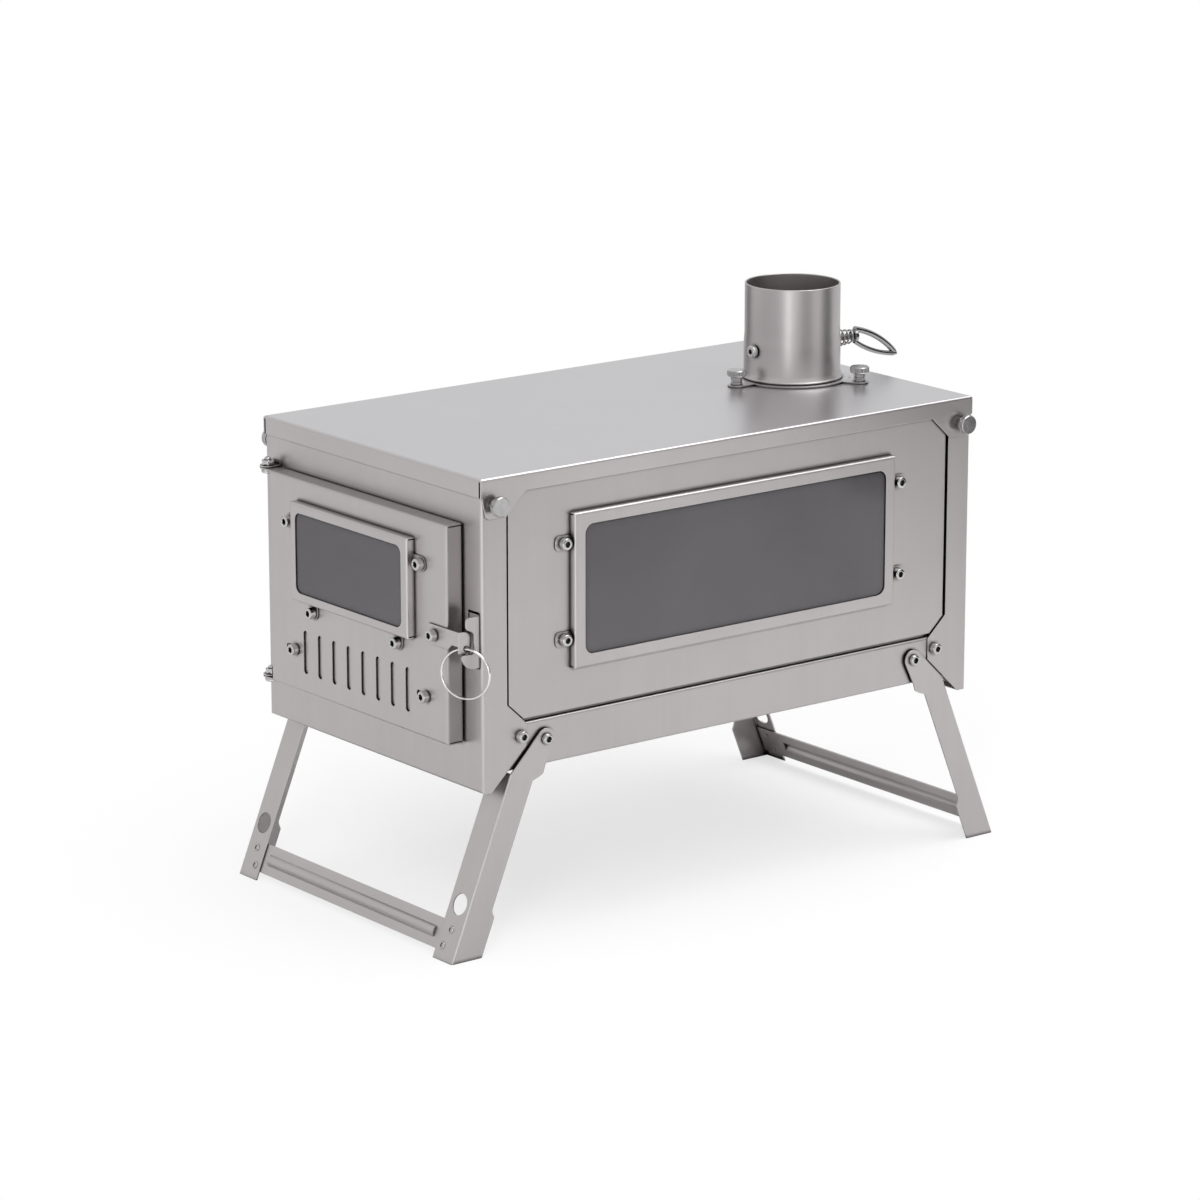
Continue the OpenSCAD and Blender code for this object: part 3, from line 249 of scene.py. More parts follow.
def solids(name):
    """The points of each separate solid in a CAD node."""
    bm = bmesh.new()
    bm.from_mesh(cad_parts[name].data)
    bmesh.ops.remove_doubles(bm, verts=bm.verts, dist=2e-6)
    left, found = set(bm.verts), []
    while left:
        seed = left.pop()
        group, edge = [seed], [seed]
        while edge:
            for link in edge.pop().link_edges:
                for vert in link.verts:
                    if vert in left:
                        left.discard(vert)
                        edge.append(vert)
                        group.append(vert)
        found.append([v.co.copy() for v in group])
    bm.free()
    fail_without(found, f"{name} holds no solid")
    return sorted(found, key=lambda pts: tuple(round(c, 4) for c in middle(pts)))


def outward(points, axis):
    """The given axis, or across the stove, away from its middle."""
    return axis if axis else X * (1 if middle(points).x > 0 else -1)


class Round:
    """Where a round solid lies along an axis: its ends, its centre line and its radius at each step."""

    def __init__(self, points, axis):
        self.axis = axis.normalized()
        centre = middle(points)
        self.centre = centre - self.axis * centre.dot(self.axis)
        self.steps = {}
        for p in points:
            t = round(p.dot(self.axis), 5)
            self.steps[t] = max(self.steps.get(t, 0), self.distance(p))
        self.low, self.high = min(self.steps), max(self.steps)
        self.shank = self.steps[self.low]
        self.widest = max(self.steps.values())
        self.bore = min(self.distance(p) for p in points)
        self.seat = min([t for t, r in self.steps.items() if r > self.shank * 1.2], default=self.low)

    def distance(self, point):
        """How far a point lies from the centre line."""
        return (point - self.centre - self.axis * point.dot(self.axis)).length

    def matrix(self, t):
        """Place on the axis at t, with the axis as local z."""
        turn = Z.rotation_difference(self.axis).to_matrix().to_4x4()
        return Matrix.Translation(self.centre + self.axis * t) @ turn

    def shank_rings(self, edge, point=0.82):
        """Rings of a shank with a bevelled end, up to the head's seat."""
        end = self.low - self.seat
        return [(end, self.shank * point), (end + edge, self.shank), (0, self.shank)]


# ---- making meshes ----


# edges that turn less than this are shaded smooth
SMOOTH_ANGLE = radians(32)


def new_piece(name, bm, material, body, slot, *nodes):
    """Turns a bmesh into a finished piece that rides on a body and stands for its CAD nodes."""
    bmesh.ops.recalc_face_normals(bm, faces=bm.faces)
    for face in bm.faces:
        face.smooth = True
    for edge in bm.edges:
        if len(edge.link_faces) == 2:
            edge.smooth = edge.calc_face_angle(0) < SMOOTH_ANGLE
    obj = new_object(name, bm, MATERIALS[material])
    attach(obj, body)
    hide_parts(*nodes)
    return obj


def new_object(name, bm, material):
    """An object in the scene, made from a bmesh that is then freed."""
    mesh = bpy.data.meshes.new(name)
    bm.to_mesh(mesh)
    bm.free()
    mesh.materials.append(material)
    obj = bpy.data.objects.new(name, mesh)
    bpy.context.scene.collection.objects.link(obj)
    return obj


def stack(bm, place, segments, rings, knurl=0, closed=True):
    """Extrudes a circle through rings, then closes both ends.

    A ring is (height, radius), with "hex" or "knurl" after them where it isn't plainly round.
    """
    verts = bmesh.ops.create_circle(bm, segments=segments, radius=1, cap_ends=False)["verts"]
    angles = {v: atan2(v.co.y, v.co.x) for v in verts}
    loops = []
    for height, radius, *shape in rings:
        if loops:
            edges = [e for e in bm.edges if e.verts[0] in angles and e.verts[1] in angles]
            grown = bmesh.ops.extrude_edge_only(bm, edges=edges)["geom"]
            fresh = [g for g in grown if isinstance(g, bmesh.types.BMVert)]
            angles = {v: atan2(v.co.y, v.co.x) for v in fresh}
        order = sorted(angles, key=angles.get)
        for i, v in enumerate(order):
            angle, r = angles[v], radius
            if "hex" in shape:
                r = radius / cos((angle + pi / 6) % (pi / 3) - pi / 6)
            if "knurl" in shape and i % 2:
                r -= knurl
            v.co = Vector((r * cos(angle), r * sin(angle), height))
        loops.append(order)
    if closed:
        close_ends(bm, loops)
    bmesh.ops.transform(bm, matrix=place, verts=[v for loop in loops for v in loop])
    return loops


def tube(bm, path, radius, sides):
    """Sweeps a circle along a path. radius is a number or a function of the share of the way."""
    tangents = []
    for i in range(len(path)):
        before, after = path[max(i - 1, 0)], path[min(i + 1, len(path) - 1)]
        tangents.append((after - before).normalized())
    side = tangents[0].orthogonal().normalized()
    loops = []
    for i, (point, tangent) in enumerate(zip(path, tangents)):
        side = (side - tangent * side.dot(tangent)).normalized()
        up = tangent.cross(side)
        r = radius(i / (len(path) - 1)) if callable(radius) else radius
        turn = Matrix((side * r, up * r, tangent)).transposed().to_4x4()
        place = Matrix.Translation(point) @ turn
        loops.append(bmesh.ops.create_circle(bm, segments=sides, radius=1, matrix=place)["verts"])
    for low, high in zip(loops, loops[1:]):
        bmesh.ops.bridge_loops(bm, edges=[*edges_of(low), *edges_of(high)])
    close_ends(bm, loops)


def close_ends(bm, loops):
    """Puts a face on the first and on the last ring."""
    bmesh.ops.contextual_create(bm, geom=loops[0])
    bmesh.ops.contextual_create(bm, geom=loops[-1])


def edges_of(ring):
    """Edges whose two ends are both in this ring."""
    inside = set(ring)
    return {e for v in ring for e in v.link_edges if e.other_vert(v) in inside}


def make_fasteners(
    name, axis, rings, body, segments, piece=None, finish="Polished steel", slot="steel", knurl=0
):
    """Makes each screw, bolt or rivet of a CAD node, from rings that count from its head's seat."""
    bm = bmesh.new()
    for points in solids(name):
        fastener = Round(points, outward(points, axis))
        stack(bm, fastener.matrix(fastener.seat), segments, rings(fastener), knurl=knurl)
    new_piece(piece or f"dressed_{name}", bm, finish, body, slot, name)


# ---- nodes of a material ----


def node(tree, kind, links=None, **settings):
    """Adds a node, sets its properties and default values, and links its inputs."""
    made = tree.nodes.new(kind)
    for key, value in settings.items():
        setattr(made, key, value)
    for key, source in (links or {}).items():
        if hasattr(source, "is_output") and source.is_output:
            tree.links.new(source, made.inputs[key])
        else:
            made.inputs[key].default_value = source
    return made


def maths(tree, operation, first, second):
    """The result of one sum on two values."""
    return node(tree, "ShaderNodeMath", {0: first, 1: second}, operation=operation).outputs[0]


def remap(tree, value, start=0.0, stop=1.0, low=0.0, high=1.0):
    """The value, which goes from start to stop, turned into one from low to high and kept there."""
    limits = {"From Min": start, "From Max": stop, "To Min": low, "To Max": high}
    return node(tree, "ShaderNodeMapRange", {"Value": value, **limits}, clamp=True).outputs[0]


def blend(tree, share, first, second):
    """A colour between two colours."""
    return node(tree, "ShaderNodeMix", {"Factor": share, 6: first, 7: second}, data_type="RGBA").outputs[2]


def noise(tree, vector, scale, detail, roughness, distortion=0.0):
    """The strength of a cloudy pattern."""
    values = {"Scale": scale, "Detail": detail, "Roughness": roughness, "Distortion": distortion}
    return node(tree, "ShaderNodeTexNoise", {"Vector": vector, **values}).outputs["Fac"]


def tinted(colour, share=1.0):
    """The colour made darker or lighter, with full alpha."""
    return (*[min(1, c * share) for c in colour[:3]], 1)


# ---- shared effects ----


def effect(name, inputs, outputs):
    """A new node group with named inputs and outputs, and its two end nodes."""
    tree = bpy.data.node_groups.new(name, "ShaderNodeTree")
    for label, kind, value in inputs:
        socket = tree.interface.new_socket(name=label, in_out="INPUT", socket_type=kind)
        if value is not None:
            socket.default_value = value
    for label, kind in outputs:
        tree.interface.new_socket(name=label, in_out="OUTPUT", socket_type=kind)
    return tree, tree.nodes.new("NodeGroupInput").outputs, tree.nodes.new("NodeGroupOutput").inputs


def brushed_lines():
    """Fine lines drawn along one direction, with a slower drift of tone."""
    tree, given, result = effect(
        "Brushed Lines",
        [
            ("Vector", "NodeSocketVector", None),
            ("Fineness", "NodeSocketVector", (900, 900, 9)),
            ("Depth", "NodeSocketFloat", 0.3),
        ],
        [("Tone", "NodeSocketFloat"), ("Height", "NodeSocketFloat")],
    )
    sides = {0: given["Vector"], 1: given["Fineness"]}
    stretched = node(tree, "ShaderNodeVectorMath", sides, operation="MULTIPLY").outputs[0]
    fine = noise(tree, stretched, 1.0, 3.0, 0.7)
    broad = noise(tree, stretched, 0.12, 2.0, 0.5)
    centred = maths(tree, "SUBTRACT", maths(tree, "ADD", fine, broad), 1.0)
    tree.links.new(maths(tree, "MULTIPLY", centred, given["Depth"]), result["Tone"])
    tree.links.new(maths(tree, "MULTIPLY", fine, given["Depth"]), result["Height"])
    return tree


def hand_marks():
    """Faint cloudy patches, where metal has been handled and wiped."""
    tree, given, result = effect(
        "Hand Marks",
        [
            ("Vector", "NodeSocketVector", None),
            ("Size", "NodeSocketFloat", 14.0),
            ("Amount", "NodeSocketFloat", 0.05),
        ],
        [("Mask", "NodeSocketFloat")],
    )
    cloud = noise(tree, given["Vector"], given["Size"], 4.0, 0.55, distortion=0.4)
    band = remap(tree, cloud, start=0.35, stop=0.7)
    tree.links.new(maths(tree, "MULTIPLY", band, given["Amount"]), result["Mask"])
    return tree


def painted_edge_highlights():
    """Marks the outer edges, where a painted highlight brightens the finish."""
    tree, given, result = effect(
        "Painted Edge Highlights",
        [("Width", "NodeSocketFloat", 0.0006), ("Amount", "NodeSocketFloat", 0.5)],
        [("Mask", "NodeSocketFloat"), ("Normal", "NodeSocketVector")],
    )
    soft = node(tree, "ShaderNodeBevel", {"Radius": given["Width"]}, samples=6).outputs[0]
    sides = {0: soft, 1: node(tree, "ShaderNodeNewGeometry").outputs["Normal"]}
    turned = node(tree, "ShaderNodeVectorMath", sides, operation="DOT_PRODUCT").outputs["Value"]
    away = remap(tree, turned, start=0.995, stop=0.8)
    tree.links.new(maths(tree, "MULTIPLY", away, given["Amount"]), result["Mask"])
    tree.links.new(soft, result["Normal"])
    return tree


def crevice_shade():
    """Marks narrow gaps, sockets and corners for painted shade, where little light gets in."""
    tree, given, result = effect(
        "Crevice Shade",
        [
            ("Reach", "NodeSocketFloat", 0.004),
            ("Amount", "NodeSocketFloat", 0.8),
            ("Open", "NodeSocketFloat", 0.88),
            ("Closed", "NodeSocketFloat", 0.4),
        ],
        [("Mask", "NodeSocketFloat")],
    )
    near = node(tree, "ShaderNodeAmbientOcclusion", {"Distance": given["Reach"]}, samples=8).outputs["AO"]
    closed = remap(tree, near, start=given["Open"], stop=given["Closed"])
    tree.links.new(maths(tree, "MULTIPLY", closed, given["Amount"]), result["Mask"])
    return tree


EFFECTS = {}
BUILDERS = {
    "Brushed Lines": brushed_lines,
    "Hand Marks": hand_marks,
    "Painted Edge Highlights": painted_edge_highlights,
    "Crevice Shade": crevice_shade,
}


def use(tree, name, links):
    """Places a shared effect in a material, and builds it the first time that it is asked for."""
    if name not in EFFECTS:
        EFFECTS[name] = BUILDERS[name]()
    return node(tree, "ShaderNodeGroup", links, node_tree=EFFECTS[name]).outputs


# ---- materials ----


MATERIALS = {}
# colour of the painted shade laid into gaps, sockets and corners
PAINTED_SHADE = (0.012, 0.01, 0.01, 1)
# shares of the sheet's colour: a brushed line at its darkest and lightest, and a painted edge highlight
LINE_DARK, LINE_LIGHT, EDGE_HIGHLIGHT = 0.8, 1.22, 1.45
HIGHLIGHT_WIDTH = 0.0005
LINE_BUMP, LINE_HEIGHT = 0.12, 0.00006
# how closely the brushed lines lie along each axis; the small number is the way that they run
UPRIGHT, ACROSS, LENGTHWAYS = (1100, 1100, 12), (12, 1100, 1100), (1100, 12, 1100)
ROLLED = (1400, 1400, 10)
# heights between which the panes grow paler towards the bottom
PALER_FROM, PALER_TO = 0.25, 0.17


def new_material(name):
    """A material's nodes, its Principled shader and its Object coordinates."""
    made = bpy.data.materials.new(name)
    made.use_nodes = True
    MATERIALS[name] = made
    tree = made.node_tree
    return tree, tree.nodes["Principled BSDF"].inputs, node(tree, "ShaderNodeTexCoord").outputs["Object"]


def shaded(tree, colour, reach, amount, open_at=0.88, closed_at=0.4):
    """The colour, darkened by painted shade in gaps and corners."""
    limits = {"Reach": reach, "Amount": amount, "Open": open_at, "Closed": closed_at}
    return blend(tree, use(tree, "Crevice Shade", limits)["Mask"], colour, PAINTED_SHADE)


def brushed_metal(name, colour, roughness, fineness, grain, marks=0.05, edge_highlight=0.5, upper=None, beside=None):
    """Sheet metal with brushed lines, hand marks, painted edge highlights and painted shade in its gaps.

    upper and beside are painted light and shade: colours of faces that look up and to the right, where they
    differ.
    """
    tree, shader, coords = new_material(name)
    lines = use(tree, "Brushed Lines", {"Vector": coords, "Fineness": fineness, "Depth": grain})
    cloud = use(tree, "Hand Marks", {"Vector": coords, "Amount": marks})["Mask"]
    edges = use(tree, "Painted Edge Highlights", {"Width": HIGHLIGHT_WIDTH, "Amount": edge_highlight})
    tone = maths(tree, "SUBTRACT", maths(tree, "ADD", lines["Tone"], 0.5), cloud)
    plain = blend(tree, tone, tinted(colour, LINE_DARK), tinted(colour, LINE_LIGHT))
    # painted light and shade by facing: faces that look up and to the right take their own colour
    for towards, painted_tone in (("Z", upper), ("X", beside)):
        if painted_tone:
            normal = node(tree, "ShaderNodeTexCoord").outputs["Normal"]
            turned = node(tree, "ShaderNodeSeparateXYZ", {0: normal}).outputs[towards]
            plain = blend(tree, remap(tree, turned, start=0.4, stop=0.95), plain, painted_tone)
    # painted highlight along the outer edges
    highlighted = blend(tree, edges["Mask"], plain, tinted(colour, EDGE_HIGHLIGHT))
    # painted shade in the sheet's gaps, seams and corners
    tree.links.new(shaded(tree, highlighted, 0.004, 1.0, open_at=0.84, closed_at=0.42), shader["Base Color"])
    shader["Metallic"].default_value = 1
    rough = remap(tree, tone, low=roughness - 0.05, high=roughness + 0.05)
    tree.links.new(maths(tree, "ADD", rough, cloud), shader["Roughness"])
    relief = {"Height": lines["Height"], "Normal": edges["Normal"]}
    relief |= {"Strength": LINE_BUMP, "Distance": LINE_HEIGHT}
    tree.links.new(node(tree, "ShaderNodeBump", relief).outputs[0], shader["Normal"])


def polished_metal(name, colour, roughness):
    """Turned or drawn steel, bright, with fine handling marks."""
    tree, shader, coords = new_material(name)
    cloud = use(tree, "Hand Marks", {"Vector": coords, "Size": 160.0, "Amount": 0.3})["Mask"]
    base = blend(tree, cloud, tinted(colour), tinted(colour, 0.72))
    # painted shade in sockets, recesses and round the heads
    tree.links.new(shaded(tree, base, 0.0026, 1.0), shader["Base Color"])
    shader["Metallic"].default_value = 1
    tree.links.new(remap(tree, cloud, low=roughness, high=roughness + 0.25), shader["Roughness"])


def smoked_glass(name, colour):
    """Dark heat-proof glass, hazy, and paler towards the bottom."""
    tree, shader, coords = new_material(name)
    haze = use(tree, "Hand Marks", {"Vector": coords, "Size": 6.0, "Amount": 0.5})["Mask"]
    height = node(tree, "ShaderNodeSeparateXYZ", {0: coords}).outputs["Z"]
    haze_and_paling = maths(tree, "ADD", haze, remap(tree, height, start=PALER_FROM, stop=PALER_TO, high=0.45))
    base = blend(tree, haze_and_paling, tinted(colour, 0.84), tinted(colour, 1.4))
    # painted shade: a dark line round the pane's rim, next to its frame
    tree.links.new(shaded(tree, base, 0.005, 0.97, open_at=0.985, closed_at=0.76), shader["Base Color"])
    tree.links.new(remap(tree, haze, low=0.06, high=0.16), shader["Roughness"])
    shader["Metallic"].default_value = 0
    shader["Transmission Weight"].default_value = 0.35
    shader["IOR"].default_value = 1.5


def woven_tape(name, colour):
    """Glass-fibre tape round the panes."""
    tree, shader, coords = new_material(name)
    weave = node(tree, "ShaderNodeTexVoronoi", {"Vector": coords, "Scale": 1200.0}).outputs["Distance"]
    tree.links.new(blend(tree, weave, tinted(colour), tinted(colour, 1.6)), shader["Base Color"])
    shader["Roughness"].default_value = 0.9
    relief = {"Height": weave, "Strength": 0.5, "Distance": 0.0003}
    tree.links.new(node(tree, "ShaderNodeBump", relief).outputs[0], shader["Normal"])


def make_materials(metal):
    """Every finish of the stove."""
    sheet, rough, grain = metal.sheet, metal.roughness, metal.grain
    brushed_metal("Titanium walls", sheet, rough, UPRIGHT, grain)
    # painted reflection of the bright room: the top plate's upward faces are painted lighter and cooler
    brushed_metal("Titanium top", sheet, rough - 0.08, ACROSS, grain * 0.8, upper=tinted(metal.top))
    brushed_metal("Titanium trim", sheet, rough - 0.04, UPRIGHT, grain)
    # painted shade: the door's upward faces and its right-hand fold are painted darker
    lintel_shade, fold_shade = tinted(sheet, 0.8), tinted(sheet, 0.66)
    brushed_metal("Titanium door", sheet, rough, UPRIGHT, grain, upper=lintel_shade, beside=fold_shade)
    brushed_metal("Titanium bars", sheet, rough, ACROSS, grain)
    brushed_metal("Rolled collar", tinted(sheet, 0.94), rough - 0.02, ROLLED, grain * 0.7)
    brushed_metal("Titanium inside", metal.shade, rough + 0.14, LENGTHWAYS, grain, marks=0.2, edge_highlight=0.1)
    polished_metal("Polished steel", metal.polished, 0.16)
    polished_metal("Thumb steel", tinted(metal.polished, 0.82), 0.2)
    polished_metal("Bright wire", tinted(metal.polished, 0.66), 0.16)
    polished_metal("Ring wire", tinted(metal.polished, 1.4), 0.1)
    smoked_glass("Smoked glass", metal.glass)
    woven_tape("Woven tape", (0.22, 0.215, 0.21))


def dress(material, *nodes):
    """Gives carried-over CAD nodes their finish."""
    for name in nodes:
        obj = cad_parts[name]
        obj.data.materials.clear()
        obj.data.materials.append(MATERIALS[material])


# ---- sheet, glass and legs ----


SHEET_FINISHES = [
    ("Titanium walls", "front_cap", "rear_cap", "right_panel", "left_panel", "bottom_tray", "keeper_hook"),
    ("Titanium door", "door_shell"),
    ("Titanium top", "top_plate", "flue_flange"),
    ("Titanium trim", "side_window_frame", "door_window_frame", "latch_lever", "hinge_brackets"),
    ("Titanium trim", "air_plate", "leg_pivot_washers"),
    ("Titanium trim", "front_leg_left", "front_leg_right", "rear_leg_left", "rear_leg_right"),
    ("Titanium inside", "fire_grate", "damper_disc"),
]


class STOVE_OT_sheet_metal(bpy.types.Operator):
    """Brushed finish of the firebox, the door and the small sheet parts"""

    bl_idname = "stove.sheet_metal"
    bl_label = "Sheet Metal"

    def execute(self, context):
        make_materials(context.scene.stove_metal)
        for material, *nodes in SHEET_FINISHES:
            dress(material, *nodes)
        return {"FINISHED"}


class STOVE_OT_windows(bpy.types.Operator):
    """Smoked glass panes and their woven gaskets"""

    bl_idname = "stove.windows"
    bl_label = "Windows"

    def execute(self, context):
        dress("Smoked glass", "side_glass", "door_glass")
        dress("Woven tape", "side_glass_gasket", "door_glass_gasket")
        return {"FINISHED"}


class STOVE_OT_leg_bars(bpy.types.Operator):
    """Finish of the swaged cross bars between the legs"""

    bl_idname = "stove.leg_bars"
    bl_label = "Leg Bars"

    def execute(self, context):
        dress("Titanium bars", "front_leg_bar", "rear_leg_bar")
        return {"FINISHED"}


# ---- fasteners ----


# node, body, axis that the heads point along; None is across the stove, away from its middle
SOCKET_SCREWS = [
    ("side_window_screws", "firebox", X),
    ("gusset_screws", "firebox", None),
    ("leg_pivot_screws", "firebox", None),
    ("door_window_screws", "door", -Y),
    ("latch_screw", "door", -Y),
    ("air_screws", "air_slide", -Y),
]
# node, body, axis of the bore
NUTS = [
    ("side_window_nuts", "firebox", X),
    ("lid_nuts", "firebox", X),
    ("gusset_nuts", "firebox", X),
    ("leg_pivot_nuts", "firebox", X),
    ("hinge_nuts", "firebox", Z),
    ("flue_nuts", "firebox", Z),
    ("door_window_nuts", "door", Y),
    ("latch_nut", "door", Y),
    ("air_nuts", "air_slide", Y),
]
# a socket screw's crown and shoulder as shares of its head, and its socket's floor as a share of its height
TALL_HEAD, LOW_HEAD = (0.84, 1, 0.42), (0.74, 0.9, 0.12)
NUT_EDGE = 0.0003
LEG_TILT = radians(22.2)


class STOVE_OT_socket_screws(bpy.types.Operator):
    """Polished screws with a hexagon socket"""

    bl_idname = "stove.socket_screws"
    bl_label = "Socket Screws"

    def execute(self, context):
        size = context.scene.stove_fasteners
        edge = size.edge
        for name, body, axis in SOCKET_SCREWS:
            crown, shoulder, floor = LOW_HEAD if name == "leg_pivot_screws" else TALL_HEAD

            def rings(screw):
                head, tall = screw.widest, screw.high - screw.seat
                key = head * size.key_share
                return [
                    *screw.shank_rings(edge),
                    (0, head - edge * 0.4),
                    (edge * 0.4, head),
                    (tall * 0.5, head),
                    (tall - edge * 0.9, head * shoulder),
                    (tall - edge * 0.3, head * (crown + 0.1)),
                    (tall, head * crown),
                    (tall, key * 1.1),
                    (tall - edge * 0.5, key, "hex"),
                    (tall * (floor + 0.06), key, "hex"),
                    (tall * floor, key * 0.5),
                ]

            make_fasteners(name, axis, rings, body, size.segments)
        return {"FINISHED"}


class STOVE_OT_nuts(bpy.types.Operator):
    """Hexagon nuts with chamfered corners"""

    bl_idname = "stove.nuts"
    bl_label = "Nuts"

    def execute(self, context):
        size = context.scene.stove_fasteners
        for name, body, axis in NUTS:
            bm = bmesh.new()
            for points in solids(name):
                nut = Round(points, axis)
                tall, flat = nut.high - nut.low, nut.widest * cos(pi / 6)
                rings = [
                    (0, nut.bore),
                    (0, flat * 0.95),
                    (tall * 0.12, flat, "hex"),
                    (tall * 0.88, flat, "hex"),
                    (tall, flat * 0.95),
                    (tall, nut.bore + NUT_EDGE),
                    (tall - NUT_EDGE, nut.bore),
                ]
                loops = stack(bm, nut.matrix(nut.low), size.segments, rings, closed=False)
                bmesh.ops.bridge_loops(bm, edges=[*edges_of(loops[0]), *edges_of(loops[-1])])
            new_piece(f"dressed_{name}", bm, "Polished steel", body, "steel", name)
        return {"FINISHED"}


class STOVE_OT_thumb_screws(bpy.types.Operator):
    """Knurled thumb screws of the lid and the flue"""

    bl_idname = "stove.thumb_screws"
    bl_label = "Thumb Screws"

    def execute(self, context):
        size = context.scene.stove_fasteners
        edge = size.edge

        def rings(screw):
            head, tall = screw.widest, screw.high - screw.seat
            under = min(t for t, r in screw.steps.items() if r > head * 0.99) - screw.seat - edge
            neck, groove = screw.steps[screw.seat], head - size.knurl
            return [
                *screw.shank_rings(edge),
                (0, neck),
                (under * 0.3, neck),
                (under * 0.36, neck * 0.9),
                (under * 0.5, neck * 0.9),
                (under * 0.56, neck),
                (under, neck),
                (under + edge * 0.1, head - edge),
                (under + edge, groove),
                (under + edge * 1.4, head, "knurl"),
                (tall - edge * 1.4, head, "knurl"),
                (tall - edge, groove),
                (tall, head - edge * 1.3),
                (tall, head * 0.55),
            ]

        knurled = {"finish": "Thumb steel", "slot": "thumb_steel", "knurl": size.knurl}
        for name, axis in (("lid_thumb_screws", None), ("flue_thumb_screws", Z)):
            make_fasteners(name, axis, rings, "firebox", size.segments * 2, **knurled)
        return {"FINISHED"}


class STOVE_OT_hinge_bolts(bpy.types.Operator):
    """Hexagon bolts that the door swings on"""

    bl_idname = "stove.hinge_bolts"
    bl_label = "Hinge Bolts"

    def execute(self, context):
        size = context.scene.stove_fasteners

        def rings(bolt):
            flat, tall = bolt.widest * cos(pi / 6), bolt.high - bolt.seat
            return [
                *bolt.shank_rings(size.edge, point=0.8),
                (0, flat * 0.97),
                (tall * 0.08, flat, "hex"),
                (tall * 0.86, flat, "hex"),
                (tall, flat * 0.93),
            ]

        make_fasteners("hinge_bolts", -Z, rings, "firebox", size.segments)
        return {"FINISHED"}


class STOVE_OT_rivets(bpy.types.Operator):
    """Rivets with a dimple, which hold the legs to their cross bars"""

    bl_idname = "stove.rivets"
    bl_label = "Leg Rivets"

    def execute(self, context):
        size = context.scene.stove_fasteners

        def rings(rivet):
            head, tall = rivet.widest, rivet.high - rivet.seat
            return [
                (rivet.low - rivet.seat, rivet.shank * 0.8),
                (0, rivet.shank),
                (0, head),
                (tall * 0.35, head * 0.97),
                (tall * 0.8, head * 0.86),
                (tall, head * 0.72),
                (tall * 0.8, head * 0.56),
                (tall * 0.15, head * 0.5),
            ]

        for end, sign in (("front", -1), ("rear", 1)):
            axis = Vector((0, sign * cos(LEG_TILT), sin(LEG_TILT)))
            make_fasteners(f"{end}_leg_rivets", axis, rings, f"{end}_legs", size.segments // 2)
        return {"FINISHED"}


# ---- flue and damper ----


# edge of the collar's rim: its height and its depth
RIM_DROP, RIM_EDGE = 0.0003, 0.0002
# the collar's wall below the rim: height above its foot, and how far it stands out past the rim
COLLAR_WALL = [
    (0.0290, 0.0),
    (0.0270, 0.0001),
    (0.0240, 0.0003),
    (0.0215, 0.0004),
    (0.0046, 0.0004),
    (0.0034, 0.0007),
    (0.0024, 0.0012),
]
# the flare under it: height, and how far it stays inside the lip
COLLAR_LIP = [(0.0018, 0.0006), (0.0011, 0.0), (0.0004, 0.0), (0.0, 0.0003)]
COLLAR_STEPS = 144

SPRING_WIRE, SPRING_END, SPRING_TURNS, SPRING_STEPS = 0.0006, 0.0045, 4.5, 40

# the handle's boss, how far its arms start above and below the shaft and inside the boss, and their bends
BOSS_LENGTH, BOSS_RADIUS, BOSS_EDGE = 0.003, 0.004, 0.0006
ARM_UP, ARM_DOWN, ARM_INSIDE = 0.0042, 0.0036, 0.0012
UPPER_SAG, LOWER_SAG = 0.003, 0.0022
TIP_GAP, TIP_BEND = 0.0002, Vector((0, 0.0006, 0.0003))
# where along the wire it grows thinner, how fast, and by what share
THIN_FROM, THIN_PACE, THIN_BY = 0.42, 6, 0.2


class STOVE_OT_flue_collar(bpy.types.Operator):
    """Rolled flue collar with a flared foot"""

    bl_idname = "stove.flue_collar"
    bl_label = "Flue Collar"

    def execute(self, context):
        low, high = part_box("flue_collar")
        centre, lip = (low + high) / 2, (high.x - low.x) / 2
        points = [v.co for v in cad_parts["flue_collar"].data.vertices]
        fail_without(len({round(p.z, 5) for p in points}) > 4, "the flue collar has no steps")
        rim = [(Vector((p.x, p.y)) - centre.xy).length for p in points if p.z > high.z - 1e-5]
        inner, outer = round(min(rim), 5), round(max(rim), 5)
        profile = [
            (inner, high.z - RIM_DROP),
            (inner + RIM_EDGE, high.z),
            (outer - RIM_EDGE, high.z),
            (outer, high.z - RIM_DROP),
            *[(outer + out, low.z + height) for height, out in COLLAR_WALL],
            *[(lip - inside, low.z + height) for height, inside in COLLAR_LIP],
            (inner, low.z),
        ]
        bm = bmesh.new()
        verts = [bm.verts.new((centre.x + r, centre.y, z)) for r, z in profile]
        edges = [bm.edges.new(pair) for pair in zip(verts, [*verts[1:], verts[0]])]
        bmesh.ops.spin(
            bm,
            geom=[*verts, *edges],
            cent=(centre.x, centre.y, 0),
            axis=Z,
            steps=COLLAR_STEPS,
            angle=2 * pi,
            use_merge=True,
        )
        bmesh.ops.remove_doubles(bm, verts=bm.verts, dist=1e-6)
        new_piece("rolled_collar", bm, "Rolled collar", "firebox", "titanium", "flue_collar")
        return {"FINISHED"}


